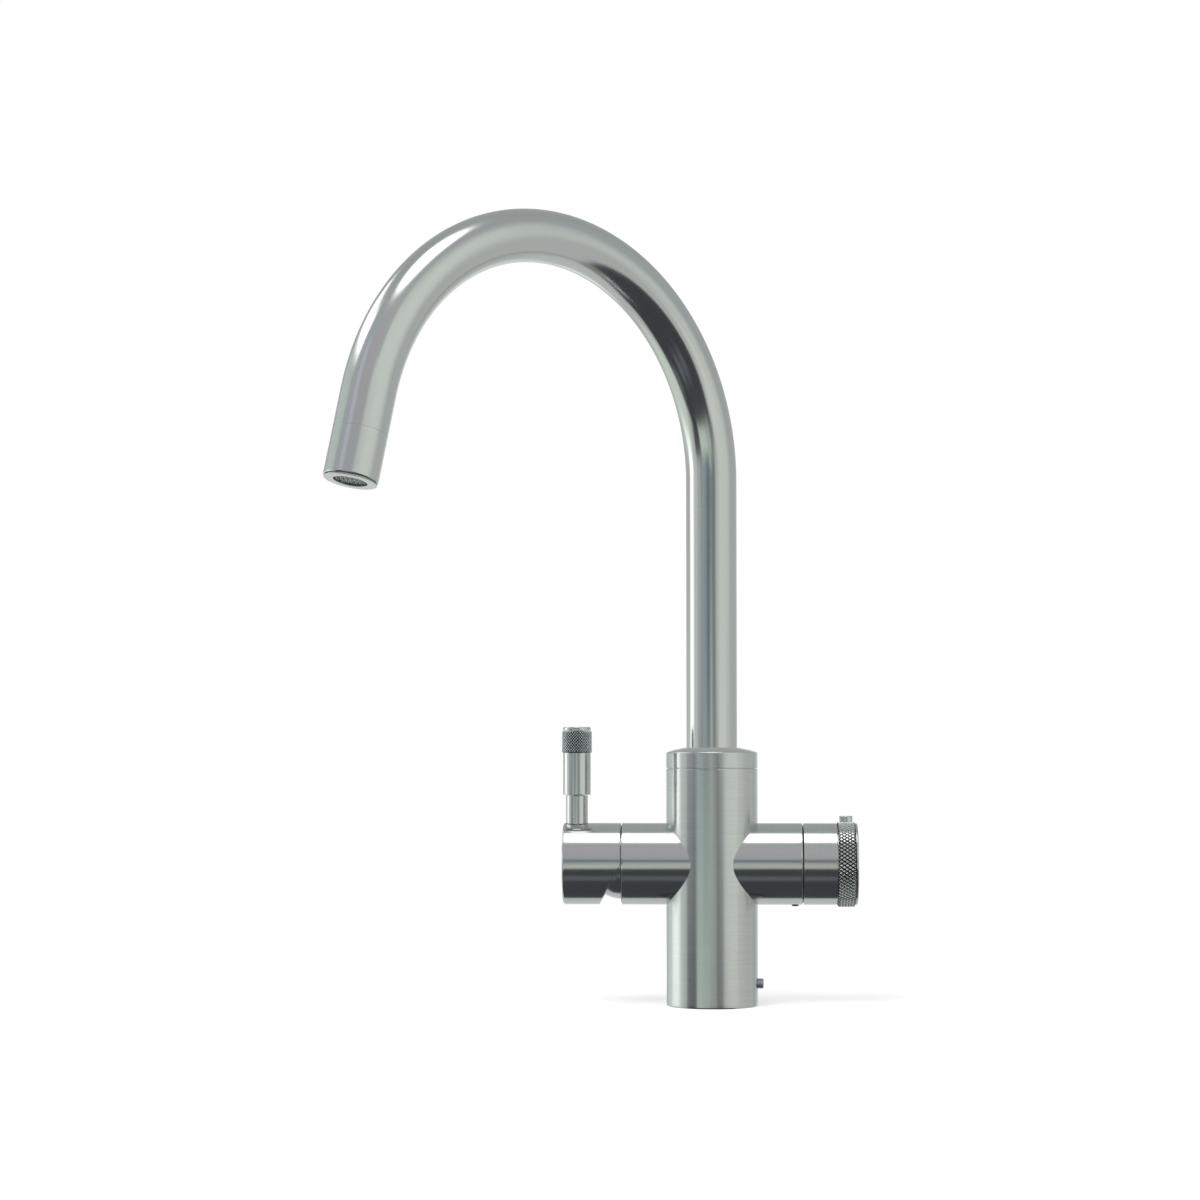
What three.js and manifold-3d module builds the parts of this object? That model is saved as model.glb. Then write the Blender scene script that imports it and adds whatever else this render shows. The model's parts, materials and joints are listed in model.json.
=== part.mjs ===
// Boiling water tap: a swivelling swan-neck spout on an upright body, a mixer lever on the
// left arm and a boiling water knob with a safety button on the right arm.
// Millimetres, +Z up. The origin is the centre of the body's underside, on the worktop.
// +X runs along the right arm and -Y points towards the user.
// In an arm's own frame +Z runs outwards along the arm and +X points up.

import * as THREE from 'three';
import { mergeVertices } from 'three/addons/utils/BufferGeometryUtils.js';
import Module from 'manifold-3d';

const wasm = await Module();
wasm.setup();

// ---------------------------------------------------------------- driving dimensions

// Fits
const seatGap = 0.3;          // between pieces that touch
const jointLine = 0.6;        // visible line between the body and what turns on it
const edgeBreak = 0.4;        // small chamfer on turned edges

// Body and arms
const bodyDiameter = 45;
const bodyHeight = 116.2;
const baseChamfer = 0.8;
const armDiameter = 40;
const armDrop = 46.8;         // body's top to the arms' axis
const armReach = 44.2;        // column axis to the end of either arm
const chamberDepth = 30.2;    // bore depth in either arm, from its end
const chamberCrown = 3;       // wall between the mixer's chamber and the spout's
const mixerBore = 35.2;
const valveBore = 28;
const spoutBore = 31.2;
const shankSocket = 33;
const shankSocketDepth = 20;

// Waterways in the casting
const hosePort = 8.4;
const hosePortDepth = 14;
const hosePortCircle = 17;
const waterway = 4.4;
const inletLevel = -7.4;      // cross drillings below and above the arm axis
const outletLevel = 8.6;
const mixedRiserOffset = -6;

// Fixing below the worktop
const shankDiameter = 28;
const shankBore = 22;
const shankLength = 62;       // below the worktop's top face
const worktopThickness = 30;
const washerDiameter = 52;
const rubberWasherThickness = 3;
const steelWasherThickness = 2.5;
const nutAcrossFlats = 38;
const nutThickness = 9;
const nutCorner = 1.5;
const gasketWidth = 1.6;
const gasketThickness = 1.2;
const gasketCircle = 38.4;
const lockScrewDiameter = 4.9;
const lockScrewHeight = 10.9;
const lockScrewReach = 25.2;
const lockGrooveDepth = 1.2;

// Spout
const tubeDiameter = 25;
const tubeWall = 1.5;
const bendRadius = 109;
const bendStart = 258.3;      // height where the upright ends and the bend begins
const bendSweep = 166.2;      // degrees
const tailLength = 40.8;      // straight end, nozzle included
const swingLeft = 45;         // degrees from straight ahead, at rest
const tubeInsertion = 16;     // how far the tube goes down into the body
const collarGap = 0.5;        // body's top to the collar's foot
const collarHeight = 7.5;
const collarDomeHeight = 2.4;
const collarDomeSlope = 14;   // degrees
const collarEdge = 0.8;
const stubFloor = 4;
const mixedHole = 3.2;
const mixedHoleCircle = 13.2;
const stubPassage = 18;
const ringSection = 2.2;      // cross section of the sealing rings
const lowerRingRise = 2.6;
const upperRingRise = 6.6;
const bearingRim = 1.3;       // body's wall round the collar's skirt, over the bearing
const collarSkirt = 0.9;      // how far the collar reaches down into the body
const bearingPlay = 0.5;      // from the spout's foot to the bearing ring round it
const bearingWidth = 3.2;
const bearingThickness = 2.2;
const clipThickness = 1.1;
const clipRise = 17.5;
const clipDepth = 0.9;
const clipOpening = 36;       // degrees
const innerTubeDiameter = 8;
const innerTubeWall = 1.2;

// Nozzle
const nozzleLength = 22;
const nozzleSpigot = 8;
const nozzleBore = 19;
const nozzleEdge = 0.6;
const aeratorDiameter = 22.6;
const aeratorPocket = 11;
const aeratorLength = 9.4;
const aeratorOpening = 15.5;
const aeratorLip = 0.3;
const aeratorFlange = 24.2;
const flangeEdge = 0.2;
const aeratorJoint = 0.45;    // dark line between the sleeve's end and the flange
const aeratorProud = 0.95;    // outlet face beyond the sleeve's end
const meshDiameter = 17.4;
const meshThickness = 0.8;
const meshPitch = 2.6;
const meshHole = 1.7;

// Mixer cartridge in the left arm
const cartridgeSealThickness = 1.3;
const sealMargin = 1;         // seals stay this far inside their chambers
const cartridgeWall = 4.3;
const cartridgeFloor = 5.6;
const cartridgeLip = 2.5;
const discThickness = 3.5;
const movingDiscDiameter = 16.4;
const movingDiscThickness = 3;
const mixingPocket = 9.8;     // across, in the moving disc's underside
const mixingPocketDepth = 1.75;
const driverRise = 1.2;       // driver's top above the ball's centre
const ballDiameter = 5.6;
const ballRelief = 1;
const spindleArm = 10;        // tilt axis to the ball's centre
const spindleNeck = 4;
const spindleDiameter = 6.4;
const spindleEye = 8;
const spindleEyeWidth = 7.8;
const tiltPinDiameter = 3;
const carrierDiameter = 19.2;
const carrierFlange = 22;
const carrierFlangeThickness = 1.8;
const carrierPassage = 15;
const cheekRise = 3.7;        // cheeks above the tilt axis
const cartridgeNutThickness = 2.4;
const cartridgeNutBore = 25;
const keyNotchWidth = 4;
const keyNotchDepth = 1.2;

// Handle on the left arm
const handleLength = 28.4;
const handleEdge = 1;
const tiltAxisRise = 0.6;     // tilt axis beyond the arm's end
const bevelAngle = 28.2;      // degrees
const domeDiameter = 34.4;
const domeWall = 1.5;
const domeOpening = 25.2;
const handleWallClearance = 0.4;
const handleCavity = 17.1;    // depth of the cavity beyond the tilt axis
const spindleSocketDepth = 9;
const leverInset = 6.55;      // lever's axis to the handle's end
const leverRecessDiameter = 11.9;
const leverRecessDepth = 0.8;
const leverStud = 5.4;
const leverRod = 10.9;
const leverRodTop = 33.9;     // heights above the arm axis
const leverSleeve = 13.7;
const leverKnurlStart = 54.5;
const leverKnurlEnd = 65.5;
const leverTop = 67.3;
const leverKnurlDiameter = 14.7;
const leverKnurlDepth = 0.4;
const leverKnurlAround = 20;
const leverKnurlRows = 3;
const leverCore = 6;
const leverPlug = 4;

// Valve in the right arm
const valveSealThickness = 1.3;
const shoulderDepth = 6.2;    // housing's shoulder behind the arm's end
const valveNeck = 20;
const neckProud = 1;          // neck beyond the turn stop ring
const valveCavity = 17.6;
const valveFloor = 7;
const valveDiscThickness = 3;
const windowAngle = 100;      // degrees
const windowInner = 5;
const valveSpindle = 8;
const spindleFlangeThickness = 3;
const valveNutThickness = 5;
const splineTeeth = 8;
const splineDepth = 0.5;
const splineLength = 6;
const valveGrubDiameter = 3.6;
const valveGrubProud = 0.6;
const stopRingGap = 0.3;      // arm's end to the ring
const stopRingLength = 7.4;
const stopRingGrooveDepth = 2;
const stopKeyAngle = 12;      // degrees
const stopKeyClearance = 2;   // degrees at either end
const quarterTurn = 90;       // degrees

// Knob on the right arm
const knobLength = 26.6;
const knobWall = 2.4;
const knurlWidth = 8.4;
const knurlRim = 1.4;         // end face beyond the knurl
const knurlDiameter = 41.8;
const knurlDepth = 0.65;
const knurlAround = 68;
const knurlRows = 3;
const knurlRingWall = 0.9;    // from its bore to the bottom of the knurl
const knobWeb = 0.8;
const hubDiameter = 15;
const hubSocket = 4;          // how far the hub takes the spindle in
const hubStep = 4;
const screwHeadDiameter = 7.2;
const screwHeadThickness = 3;
const screwDiameter = 4;
const screwEngagement = 11.5;
const screwSocket = 3.2;
const screwSocketDepth = 1.8;
const endCapEdge = 0.7;
const endCapSpigot = 1.2;
const buttonDiameter = 6.5;
const buttonTop = 23.6;       // above the arm axis
const buttonFlange = 8.8;
const buttonFlangeThickness = 1.4;
const buttonEdge = 0.5;
const springWire = 0.7;
const springDiameter = 4.8;
const springTurns = 5;
const springSteps = 8;        // per turn

// Facets
const sides = 28;             // on turned pieces that show
const innerSides = 16;        // on pieces that turn inside others, and their bores
const stillSides = 12;        // on pieces that are hidden and keep still in their seats
const smallSides = 12;
const drillSides = 6;
const tubeSides = 20;
const boreSides = 12;
const bendSteps = 16;
const innerBendSteps = 12;
const sealCorners = 5;        // of a sealing ring's section

// ---------------------------------------------------------------- derived places

const bodyRadius = bodyDiameter / 2;
const armRadius = armDiameter / 2;
const armAxisHeight = bodyHeight - armDrop;
const tubeRadius = tubeDiameter / 2;
const tubeBoreRadius = tubeRadius - tubeWall;
const turningStart = armReach + jointLine;              // first face of handle and knob
const chamberFloor = armReach - chamberDepth;
const tiltAxis = armReach + tiltAxisRise;
const collarFoot = bodyHeight + collarGap;
const skirtFoot = bodyHeight - collarSkirt;
const bearingTop = skirtFoot - seatGap;
const skirtRadius = bodyRadius - bearingRim;
const spoutChamberFloor = armAxisHeight + mixerBore / 2 + chamberCrown;
const stubFoot = spoutChamberFloor + seatGap;
const stubRadius = spoutBore / 2 - seatGap;
const bearingBore = stubRadius + bearingPlay;
const bearingRadius = bearingBore + bearingWidth;
const tubeFoot = bodyHeight - tubeInsertion;
const tailAngle = 180 - bendSweep;                      // degrees off the vertical
const worktopUnderside = -worktopThickness;
const handleEnd = turningStart + handleLength;
const leverOffset = handleEnd - leverInset;
const valveShoulder = armReach - shoulderDepth;
const valveNutMiddle = valveShoulder + seatGap + valveNutThickness / 2;
const overlap = 1;                                      // tools run past what they cut
const rad = THREE.MathUtils.degToRad;

// ---------------------------------------------------------------- colours

const brushedSteel = [0xb4b9b4, 0.36, 1.0];
const satinSteel = [0xb6bab8, 0.26, 1.0];
const darkSteel = [0x6c7072, 0.38, 1.0];
const plainSteel = [0xa8abad, 0.35, 1.0];
const brass = [0xb8975a, 0.38, 1.0];
const blackRubber = [0x1d1e1f, 0.85, 0.0];
const greyPlastic = [0x4a4d50, 0.55, 0.0];
const whitePlastic = [0xd8d9d6, 0.5, 0.0];
const blackOxide = [0x202224, 0.5, 0.6];
const ceramic = [0xe4e0d6, 0.25, 0.0];
const clearTube = [0xc9cfd0, 0.45, 0.0];

// ---------------------------------------------------------------- geometry helpers

// Keeps position only, welds shared corners, drops empty triangles, faces outwards.
function closed(geometry) {
  const plain = geometry.index ? geometry.toNonIndexed() : geometry.clone();
  plain.deleteAttribute('normal');
  plain.deleteAttribute('uv');
  const welded = mergeVertices(plain, 1e-4);
  const position = welded.getAttribute('position');
  const corners = [];
  let volume = 0;
  const a = new THREE.Vector3();
  const b = new THREE.Vector3();
  const c = new THREE.Vector3();
  for (let i = 0; i < welded.index.count; i += 3) {
    const [p, q, r] = [0, 1, 2].map((k) => welded.index.getX(i + k));
    if (p === q || q === r || r === p) continue;
    corners.push(p, q, r);
    a.fromBufferAttribute(position, p);
    b.fromBufferAttribute(position, q);
    c.fromBufferAttribute(position, r);
    volume += a.dot(b.cross(c));
  }
  if (volume < 0) corners.reverse();
  welded.setIndex(corners);
  return welded;
}

function toSolid(geometry) {
  const shell = closed(geometry);
  return new wasm.Manifold(new wasm.Mesh({
    numProp: 3,
    vertProperties: new Float32Array(shell.getAttribute('position').array),
    triVerts: new Uint32Array(shell.index.array),
  }));
}

function toGeometry(solid) {
  const { vertProperties, triVerts } = solid.getMesh();
  const geometry = new THREE.BufferGeometry();
  geometry.setAttribute('position', new THREE.BufferAttribute(vertProperties, 3));
  geometry.setIndex(new THREE.BufferAttribute(triVerts, 1));
  return geometry;
}

// First geometry with the tools taken away.
function cut(geometry, ...tools) {
  return toGeometry(tools.reduce((rest, tool) => rest.subtract(toSolid(tool)), toSolid(geometry)));
}

function join(first, ...others) {
  return toGeometry(others.reduce((whole, part) => whole.add(toSolid(part)), toSolid(first)));
}

// Profile of [radius, height] pairs turned about Z. It closes on itself, or on the axis.
function turned(profile, count = sides) {
  const points = profile.map(([r, h]) => new THREE.Vector2(r, h));
  const onAxis = profile[0][0] === 0 && profile[profile.length - 1][0] === 0;
  if (!onAxis) points.push(points[0].clone());
  return closed(new THREE.LatheGeometry(points, count).rotateX(Math.PI / 2));
}

function rod(radius, low, high, count = sides) {
  return turned([[0, low], [radius, low], [radius, high], [0, high]], count);
}

function tubeRing(inner, outer, low, high, count = sides) {
  return turned([[inner, low], [outer, low], [outer, high], [inner, high]], count);
}

// Points of an arc about (cr, ch), angles in degrees from the radial direction.
function arc(cr, ch, radius, from, to, steps) {
  return Array.from({ length: steps + 1 }, (_, i) => {
    const angle = rad(from + (to - from) * i / steps);
    return [cr + radius * Math.cos(angle), ch + radius * Math.sin(angle)];
  });
}

// Round bar from a point along +X, -X, +Y or -Y, used for drillings and pins.
function crossRod(radius, from, to, count = smallSides) {
  const start = new THREE.Vector3(...from);
  const line = new THREE.Vector3(...to).sub(start);
  const bar = rod(radius, 0, line.length(), count);
  const turn = new THREE.Quaternion().setFromUnitVectors(
    new THREE.Vector3(0, 0, 1), line.clone().normalize());
  return bar.applyQuaternion(turn).translate(start.x, start.y, start.z);
}

function extruded(shape, low, high) {
  const body = new THREE.ExtrudeGeometry(shape,
    { depth: high - low, bevelEnabled: false, curveSegments: 10 });
  return body.translate(0, 0, low);
}

// Sector of a ring between two angles, in degrees.
function sectorShape(inner, outer, from, to) {
  const shape = new THREE.Shape();
  shape.absarc(0, 0, outer, rad(from), rad(to), false);
  shape.absarc(0, 0, inner, rad(to), rad(from), true);
  shape.closePath();
  return shape;
}

function circleOutline(radius, count) {
  return Array.from({ length: count }, (_, i) => {
    const angle = 2 * Math.PI * i / count;
    return new THREE.Vector2(radius * Math.cos(angle), radius * Math.sin(angle));
  });
}

// Round bar with a diamond knurl: two crossing families of V grooves leave pyramids.
// Corners alternate between peak and groove, and each cell folds along its groove.
function knurledRod(peak, depth, low, high, around, rows) {
  const perTurn = 2 * around;
  const levels = 2 * rows;
  const corners = [];
  for (let j = 0; j <= levels; j += 1) {
    const height = low + (high - low) * j / levels;
    for (let i = 0; i < perTurn; i += 1) {
      const raised = (i + j) % 2 === 1 && j > 0 && j < levels;
      const radius = raised ? peak : peak - depth;
      const angle = 2 * Math.PI * i / perTurn;
      corners.push(radius * Math.cos(angle), radius * Math.sin(angle), height);
    }
  }
  const at = (i, j) => j * perTurn + (i % perTurn);
  const faces = [];
  for (let j = 0; j < levels; j += 1) {
    for (let i = 0; i < perTurn; i += 1) {
      const [p, q, r, s] = [at(i, j), at(i + 1, j), at(i + 1, j + 1), at(i, j + 1)];
      if ((i + j) % 2 === 0) faces.push(p, q, r, p, r, s);
      else faces.push(p, q, s, q, r, s);
    }
  }
  const centre = corners.length / 3;
  corners.push(0, 0, low, 0, 0, high);
  for (let i = 0; i < perTurn; i += 1) {
    faces.push(centre, at(i + 1, 0), at(i, 0));
    faces.push(centre + 1, at(i, levels), at(i + 1, levels));
  }
  const geometry = new THREE.BufferGeometry();
  geometry.setAttribute('position', new THREE.Float32BufferAttribute(corners, 3));
  geometry.setIndex(faces);
  return geometry;
}

// Headless screw with a hexagon socket in its upper end.
function grubScrew(diameter, low, high) {
  const [socketRadius, socketDepth, tip] = [0.3 * diameter, 0.5 * diameter, 0.12 * diameter];
  const socket = rod(socketRadius, high - socketDepth, high + overlap, 6);
  const shaft = turned([[0, low], [diameter / 2 - tip, low], [diameter / 2, low + tip],
    [diameter / 2, high - tip], [diameter / 2 - tip, high], [0, high]], smallSides);
  return cut(shaft, socket);
}

function sealRing(innerRadius, section, centreHeight, count = stillSides) {
  const ring = arc(innerRadius + section / 2, centreHeight, section / 2,
    0, 360 - 360 / sealCorners, sealCorners - 1);
  return turned(ring, count);
}

function piece(name, geometry, [color, roughness, metalness]) {
  const material = new THREE.MeshStandardMaterial({ color, roughness, metalness });
  const mesh = new THREE.Mesh(closed(geometry), material);
  mesh.name = name;
  return mesh;
}

// ---------------------------------------------------------------- body and fixing

const hosePorts = [0, 120, 240].map((angle) => [
  hosePortCircle / 2 * Math.cos(rad(angle)), hosePortCircle / 2 * Math.sin(rad(angle))]);

// Drillings that lead the hot, cold and boiling water from the ports to the two
// chambers, and the mixed and the boiling water up to the spout.
function waterways() {
  const radius = waterway / 2;
  const drilling = (from, to) => crossRod(radius, from, to, drillSides);
  const inlet = armAxisHeight + inletLevel;
  const outlet = armAxisHeight + outletLevel;
  const portTop = shankSocketDepth + hosePortDepth;
  const tools = hosePorts.map(([x, y]) => {
    const port = rod(hosePort / 2, shankSocketDepth - overlap, portTop, smallSides);
    return port.translate(x, y, 0);
  });
  for (const [x, y] of hosePorts) {
    const wall = x > 0 ? chamberFloor + overlap : -chamberFloor - overlap;
    tools.push(drilling([x, y, portTop - overlap], [x, y, inlet + radius]));
    tools.push(drilling([x, y, inlet], [wall, y, inlet]));
  }
  const risers = [[mixedRiserOffset, -chamberFloor - overlap], [0, chamberFloor + overlap]];
  for (const [x, wall] of risers) {
    tools.push(drilling([wall, 0, outlet], [x, 0, outlet]));
    tools.push(drilling([x, 0, outlet - radius], [x, 0, spoutChamberFloor + overlap]));
  }
  return tools;
}

function bodyCasting() {
  const barrel = turned([[0, 0], [bodyRadius - baseChamfer, 0], [bodyRadius, baseChamfer],
    [bodyRadius, bodyHeight - edgeBreak], [bodyRadius - edgeBreak, bodyHeight],
    [0, bodyHeight]]);
  const arms = turned([[0, -armReach], [armRadius - edgeBreak, -armReach],
    [armRadius, -armReach + edgeBreak], [armRadius, armReach - edgeBreak],
    [armRadius - edgeBreak, armReach], [0, armReach]]);
  arms.rotateY(Math.PI / 2).translate(0, 0, armAxisHeight);
  const mixerChamber = crossRod(mixerBore / 2,
    [-armReach - overlap, 0, armAxisHeight], [-chamberFloor, 0, armAxisHeight], innerSides);
  const valveChamber = crossRod(valveBore / 2,
    [armReach + overlap, 0, armAxisHeight], [chamberFloor, 0, armAxisHeight], innerSides);
  const gasketGroove = tubeRing(gasketCircle / 2 - gasketWidth / 2 - seatGap,
    gasketCircle / 2 + gasketWidth / 2 + seatGap, -overlap, gasketThickness + seatGap, innerSides);
  const clipGroove = tubeRing(spoutBore / 2 - overlap, spoutBore / 2 + clipDepth,
    spoutChamberFloor + clipRise - seatGap,
    spoutChamberFloor + clipRise + clipThickness + seatGap);
  const lockHole = crossRod(lockScrewDiameter / 2 + seatGap,
    [0, 0, lockScrewHeight], [bodyRadius + overlap, 0, lockScrewHeight]);
  const grubHole = rod(valveGrubDiameter / 2 + seatGap, armAxisHeight - armRadius - overlap,
    armAxisHeight, smallSides).translate(valveNutMiddle, 0, 0);
  return cut(join(barrel, arms), mixerChamber, valveChamber, gasketGroove, clipGroove,
    rod(spoutBore / 2, spoutChamberFloor, bodyHeight + overlap),
    rod(bearingRadius + seatGap, bearingTop - bearingThickness - seatGap, bodyHeight + overlap),
    rod(skirtRadius + seatGap, skirtFoot - seatGap, bodyHeight + overlap),
    rod(shankSocket / 2, -overlap, shankSocketDepth, stillSides),
    lockHole, grubHole, ...waterways());
}

function deckGasket() {
  return tubeRing(gasketCircle / 2 - gasketWidth / 2, gasketCircle / 2 + gasketWidth / 2,
    0, gasketThickness, innerSides);
}

// Hollow fixing shank. Its head fills the body's socket, and a groove in the head
// takes the point of the lock screw.
function threadedShank() {
  const head = shankSocket / 2 - seatGap;
  const shank = shankDiameter / 2;
  const groove = lockScrewDiameter / 2 + seatGap;
  const sealGroove = ringSection / 2 + seatGap;
  const sealHeight = shankSocketDepth - seatGap - ringSection;
  const sealBottom = head - ringSection + seatGap;
  return turned([
    [shankBore / 2, -shankLength], [shank - 1, -shankLength], [shank, -shankLength + 1],
    [shank, seatGap], [head, seatGap],
    [head, lockScrewHeight - groove], [head - lockGrooveDepth, lockScrewHeight - groove],
    [head - lockGrooveDepth, lockScrewHeight + groove], [head, lockScrewHeight + groove],
    [head, sealHeight - sealGroove], [sealBottom, sealHeight - sealGroove],
    [sealBottom, sealHeight + sealGroove], [head, sealHeight + sealGroove],
    [head, shankSocketDepth - seatGap], [shankBore / 2, shankSocketDepth - seatGap]],
  stillSides);
}

function shankSeal() {
  const head = shankSocket / 2 - seatGap;
  return sealRing(head - ringSection + 2 * seatGap, ringSection - 2 * seatGap,
    shankSocketDepth - seatGap - ringSection);
}

function washer(top, thickness) {
  return tubeRing(shankDiameter / 2 + seatGap, washerDiameter / 2, top - thickness, top, innerSides);
}

function shankNut(top) {
  const across = nutAcrossFlats / Math.sqrt(3);
  const hexagon = rod(across, top - nutThickness, top, 6);
  const faced = turned([[0, top - nutThickness - overlap],
    [across - nutCorner - overlap, top - nutThickness - overlap],
    [across + overlap, top - nutThickness + nutCorner + overlap], [across + overlap, top + overlap],
    [0, top + overlap]]);
  const trimmed = toGeometry(toSolid(hexagon).intersect(toSolid(faced)));
  return cut(trimmed, rod(shankDiameter / 2 + seatGap, top - nutThickness - overlap, top + overlap));
}

function lockScrew() {
  const groove = shankSocket / 2 - seatGap - lockGrooveDepth;
  return grubScrew(lockScrewDiameter, groove + seatGap, lockScrewReach)
    .rotateY(Math.PI / 2).translate(0, 0, lockScrewHeight);
}

function fixing() {
  const group = new THREE.Group();
  const steelTop = worktopUnderside - rubberWasherThickness - seatGap;
  const nutTop = steelTop - steelWasherThickness - seatGap;
  group.add(
    piece('deck_gasket', deckGasket(), blackRubber),
    piece('threaded_shank', threadedShank(), brass),
    piece('shank_seal', shankSeal(), blackRubber),
    piece('rubber_washer', washer(worktopUnderside, rubberWasherThickness), blackRubber),
    piece('steel_washer', washer(steelTop, steelWasherThickness), plainSteel),
    piece('shank_nut', shankNut(nutTop), brass),
    piece('body_lock_screw', lockScrew(), darkSteel));
  return group;
}

// ---------------------------------------------------------------- spout

// Centre line of the spout in its own plane: upright, round bend, straight tail.
// The two straights take one step each, and the bend takes the rest.
class SpoutLine extends THREE.Curve {
  constructor(foot, tail, steps) {
    super();
    this.foot = foot;
    this.tail = tail;
    this.steps = steps;
  }

  place(t) {
    const s = t * (this.steps + 2);
    const turn = rad(bendSweep) * THREE.MathUtils.clamp((s - 1) / this.steps, 0, 1);
    const rise = (bendStart - this.foot) * Math.min(s, 1);
    const run = this.tail * Math.max(s - 1 - this.steps, 0);
    return { turn, rise, run };
  }

  getPoint(t, target = new THREE.Vector3()) {
    const { turn, rise, run } = this.place(t);
    return target.set(
      bendRadius * (1 - Math.cos(turn)) + run * Math.sin(turn), 0,
      this.foot + rise + bendRadius * Math.sin(turn) + run * Math.cos(turn));
  }

  getTangent(t, target = new THREE.Vector3()) {
    const { turn } = this.place(t);
    return target.set(Math.sin(turn), 0, Math.cos(turn));
  }

  getUtoTmapping(u) {
    return u;
  }
}

function pipe(line, steps, outer, inner, outsideCount, boreCount) {
  const shape = new THREE.Shape(circleOutline(outer, outsideCount));
  shape.holes.push(new THREE.Path(circleOutline(inner, boreCount)));
  return new THREE.ExtrudeGeometry(shape, { steps: steps + 2, extrudePath: line });
}

function spoutTube() {
  const line = new SpoutLine(tubeFoot, tailLength - nozzleLength - seatGap, bendSteps);
  return pipe(line, bendSteps, tubeRadius, tubeBoreRadius, tubeSides, boreSides);
}

// Separate tube that keeps the boiling water apart, all the way to the nozzle.
function innerTube() {
  const radius = innerTubeDiameter / 2;
  const line = new SpoutLine(stubFoot + overlap, tailLength - nozzleLength + nozzleSpigot,
    innerBendSteps);
  return pipe(line, innerBendSteps, radius, radius - innerTubeWall, 8, drillSides);
}

// Its skirt reaches down into the body and rests on the bearing ring.
function spoutCollar() {
  const bore = tubeRadius + seatGap;
  const shoulder = collarFoot + collarHeight;
  return turned([[bore, skirtFoot], [skirtRadius, skirtFoot], [skirtRadius, collarFoot],
    [bodyRadius - edgeBreak, collarFoot],
    [bodyRadius, collarFoot + edgeBreak],
    ...arc(bodyRadius - collarEdge, shoulder - collarEdge, collarEdge, 0, 90 - collarDomeSlope, 2),
    [bore, shoulder + collarDomeHeight]]);
}

// Brass foot of the spout. It turns in the body on two sealing rings, a clip holds it
// down, and its floor guides the inner tube between four holes for the mixed water.
function spoutStub() {
  const groove = ringSection / 2 + seatGap;
  const grooveRadius = stubRadius - ringSection + 2 * seatGap;
  const socket = tubeRadius + seatGap;
  const clipLow = spoutChamberFloor + clipRise - seatGap;
  const clipHigh = clipLow + clipThickness + 2 * seatGap;
  const top = skirtFoot - seatGap;
  const grooves = [lowerRingRise, upperRingRise].flatMap((rise) => [
    [stubRadius, stubFoot + rise - groove], [grooveRadius, stubFoot + rise - groove],
    [grooveRadius, stubFoot + rise + groove], [stubRadius, stubFoot + rise + groove]]);
  const stub = turned([[0, stubFoot], [stubRadius, stubFoot], ...grooves,
    [stubRadius, clipLow], [stubRadius - clipDepth, clipLow],
    [stubRadius - clipDepth, clipHigh], [stubRadius, clipHigh],
    [stubRadius, top], [socket, top], [socket, tubeFoot - seatGap],
    [stubPassage / 2, tubeFoot - seatGap], [stubPassage / 2, stubFoot + stubFloor],
    [0, stubFoot + stubFloor]], tubeSides);
  const holes = Array.from({ length: 4 }, (_, i) => {
    const angle = 2 * Math.PI * (i + 0.5) / 4;
    const hole = rod(mixedHole / 2, stubFoot - overlap, stubFoot + stubFloor + overlap, drillSides);
    const [x, y] = [Math.cos(angle), Math.sin(angle)].map((part) => part * mixedHoleCircle / 2);
    return hole.translate(x, y, 0);
  });
  const guide = rod(innerTubeDiameter / 2 + seatGap, stubFoot - overlap, tubeFoot, smallSides);
  return cut(stub, guide, ...holes);
}

function retainingClip() {
  const inner = stubRadius - clipDepth + seatGap;
  const outer = spoutBore / 2 + clipDepth - seatGap;
  const low = spoutChamberFloor + clipRise;
  const shape = sectorShape(inner, outer, clipOpening / 2, 360 - clipOpening / 2);
  return extruded(shape, low, low + clipThickness);
}

function bearingRing() {
  return tubeRing(bearingBore, bearingRadius, bearingTop - bearingThickness, bearingTop,
    tubeSides);
}

// Nozzle pieces stand on the outlet's plane, with +Z back up along the tail.
function nozzleSleeve() {
  const bore = nozzleBore / 2;
  const spigot = tubeBoreRadius - 1.5 * seatGap;
  const pocket = aeratorDiameter / 2 + seatGap;
  return turned([[pocket, 0], ...arc(tubeRadius - nozzleEdge, nozzleEdge, nozzleEdge, -90, 0, 2),
    [tubeRadius, nozzleLength], [spigot, nozzleLength], [spigot, nozzleLength + nozzleSpigot],
    [bore, nozzleLength + nozzleSpigot], [bore, aeratorPocket], [pocket, aeratorPocket]],
  tubeSides);
}

// Its flange stands a little off the sleeve's end.
function aeratorHousing() {
  const outer = aeratorDiameter / 2;
  const flange = aeratorFlange / 2;
  const seat = meshDiameter / 2 + seatGap;
  const opening = aeratorOpening / 2;
  const low = -aeratorProud;
  return turned([[opening + flangeEdge, low], [flange - flangeEdge, low], [flange, low + flangeEdge],
    [flange, -aeratorJoint], [outer, -aeratorJoint],
    [outer, low + aeratorLength], [seat, low + aeratorLength], [seat, low + aeratorLip],
    [opening, low + aeratorLip], [opening, low + flangeEdge]], tubeSides);
}

// Square-holed outlet screen that straightens the stream.
function aeratorScreen() {
  const low = aeratorLip + seatGap - aeratorProud;
  const reach = aeratorOpening / 2 - edgeBreak;
  const count = Math.ceil(reach / meshPitch);
  const holes = [];
  for (let i = -count; i <= count; i += 1) {
    for (let j = -count; j <= count; j += 1) {
      const [x, y] = [i * meshPitch, j * meshPitch];
      if (Math.hypot(Math.abs(x) + meshHole / 2, Math.abs(y) + meshHole / 2) > reach) continue;
      const hole = new THREE.BoxGeometry(meshHole, meshHole, 4 * meshThickness);
      holes.push(hole.translate(x, y, low + meshThickness / 2));
    }
  }
  return cut(rod(meshDiameter / 2, low, low + meshThickness, innerSides), ...holes);
}

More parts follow.
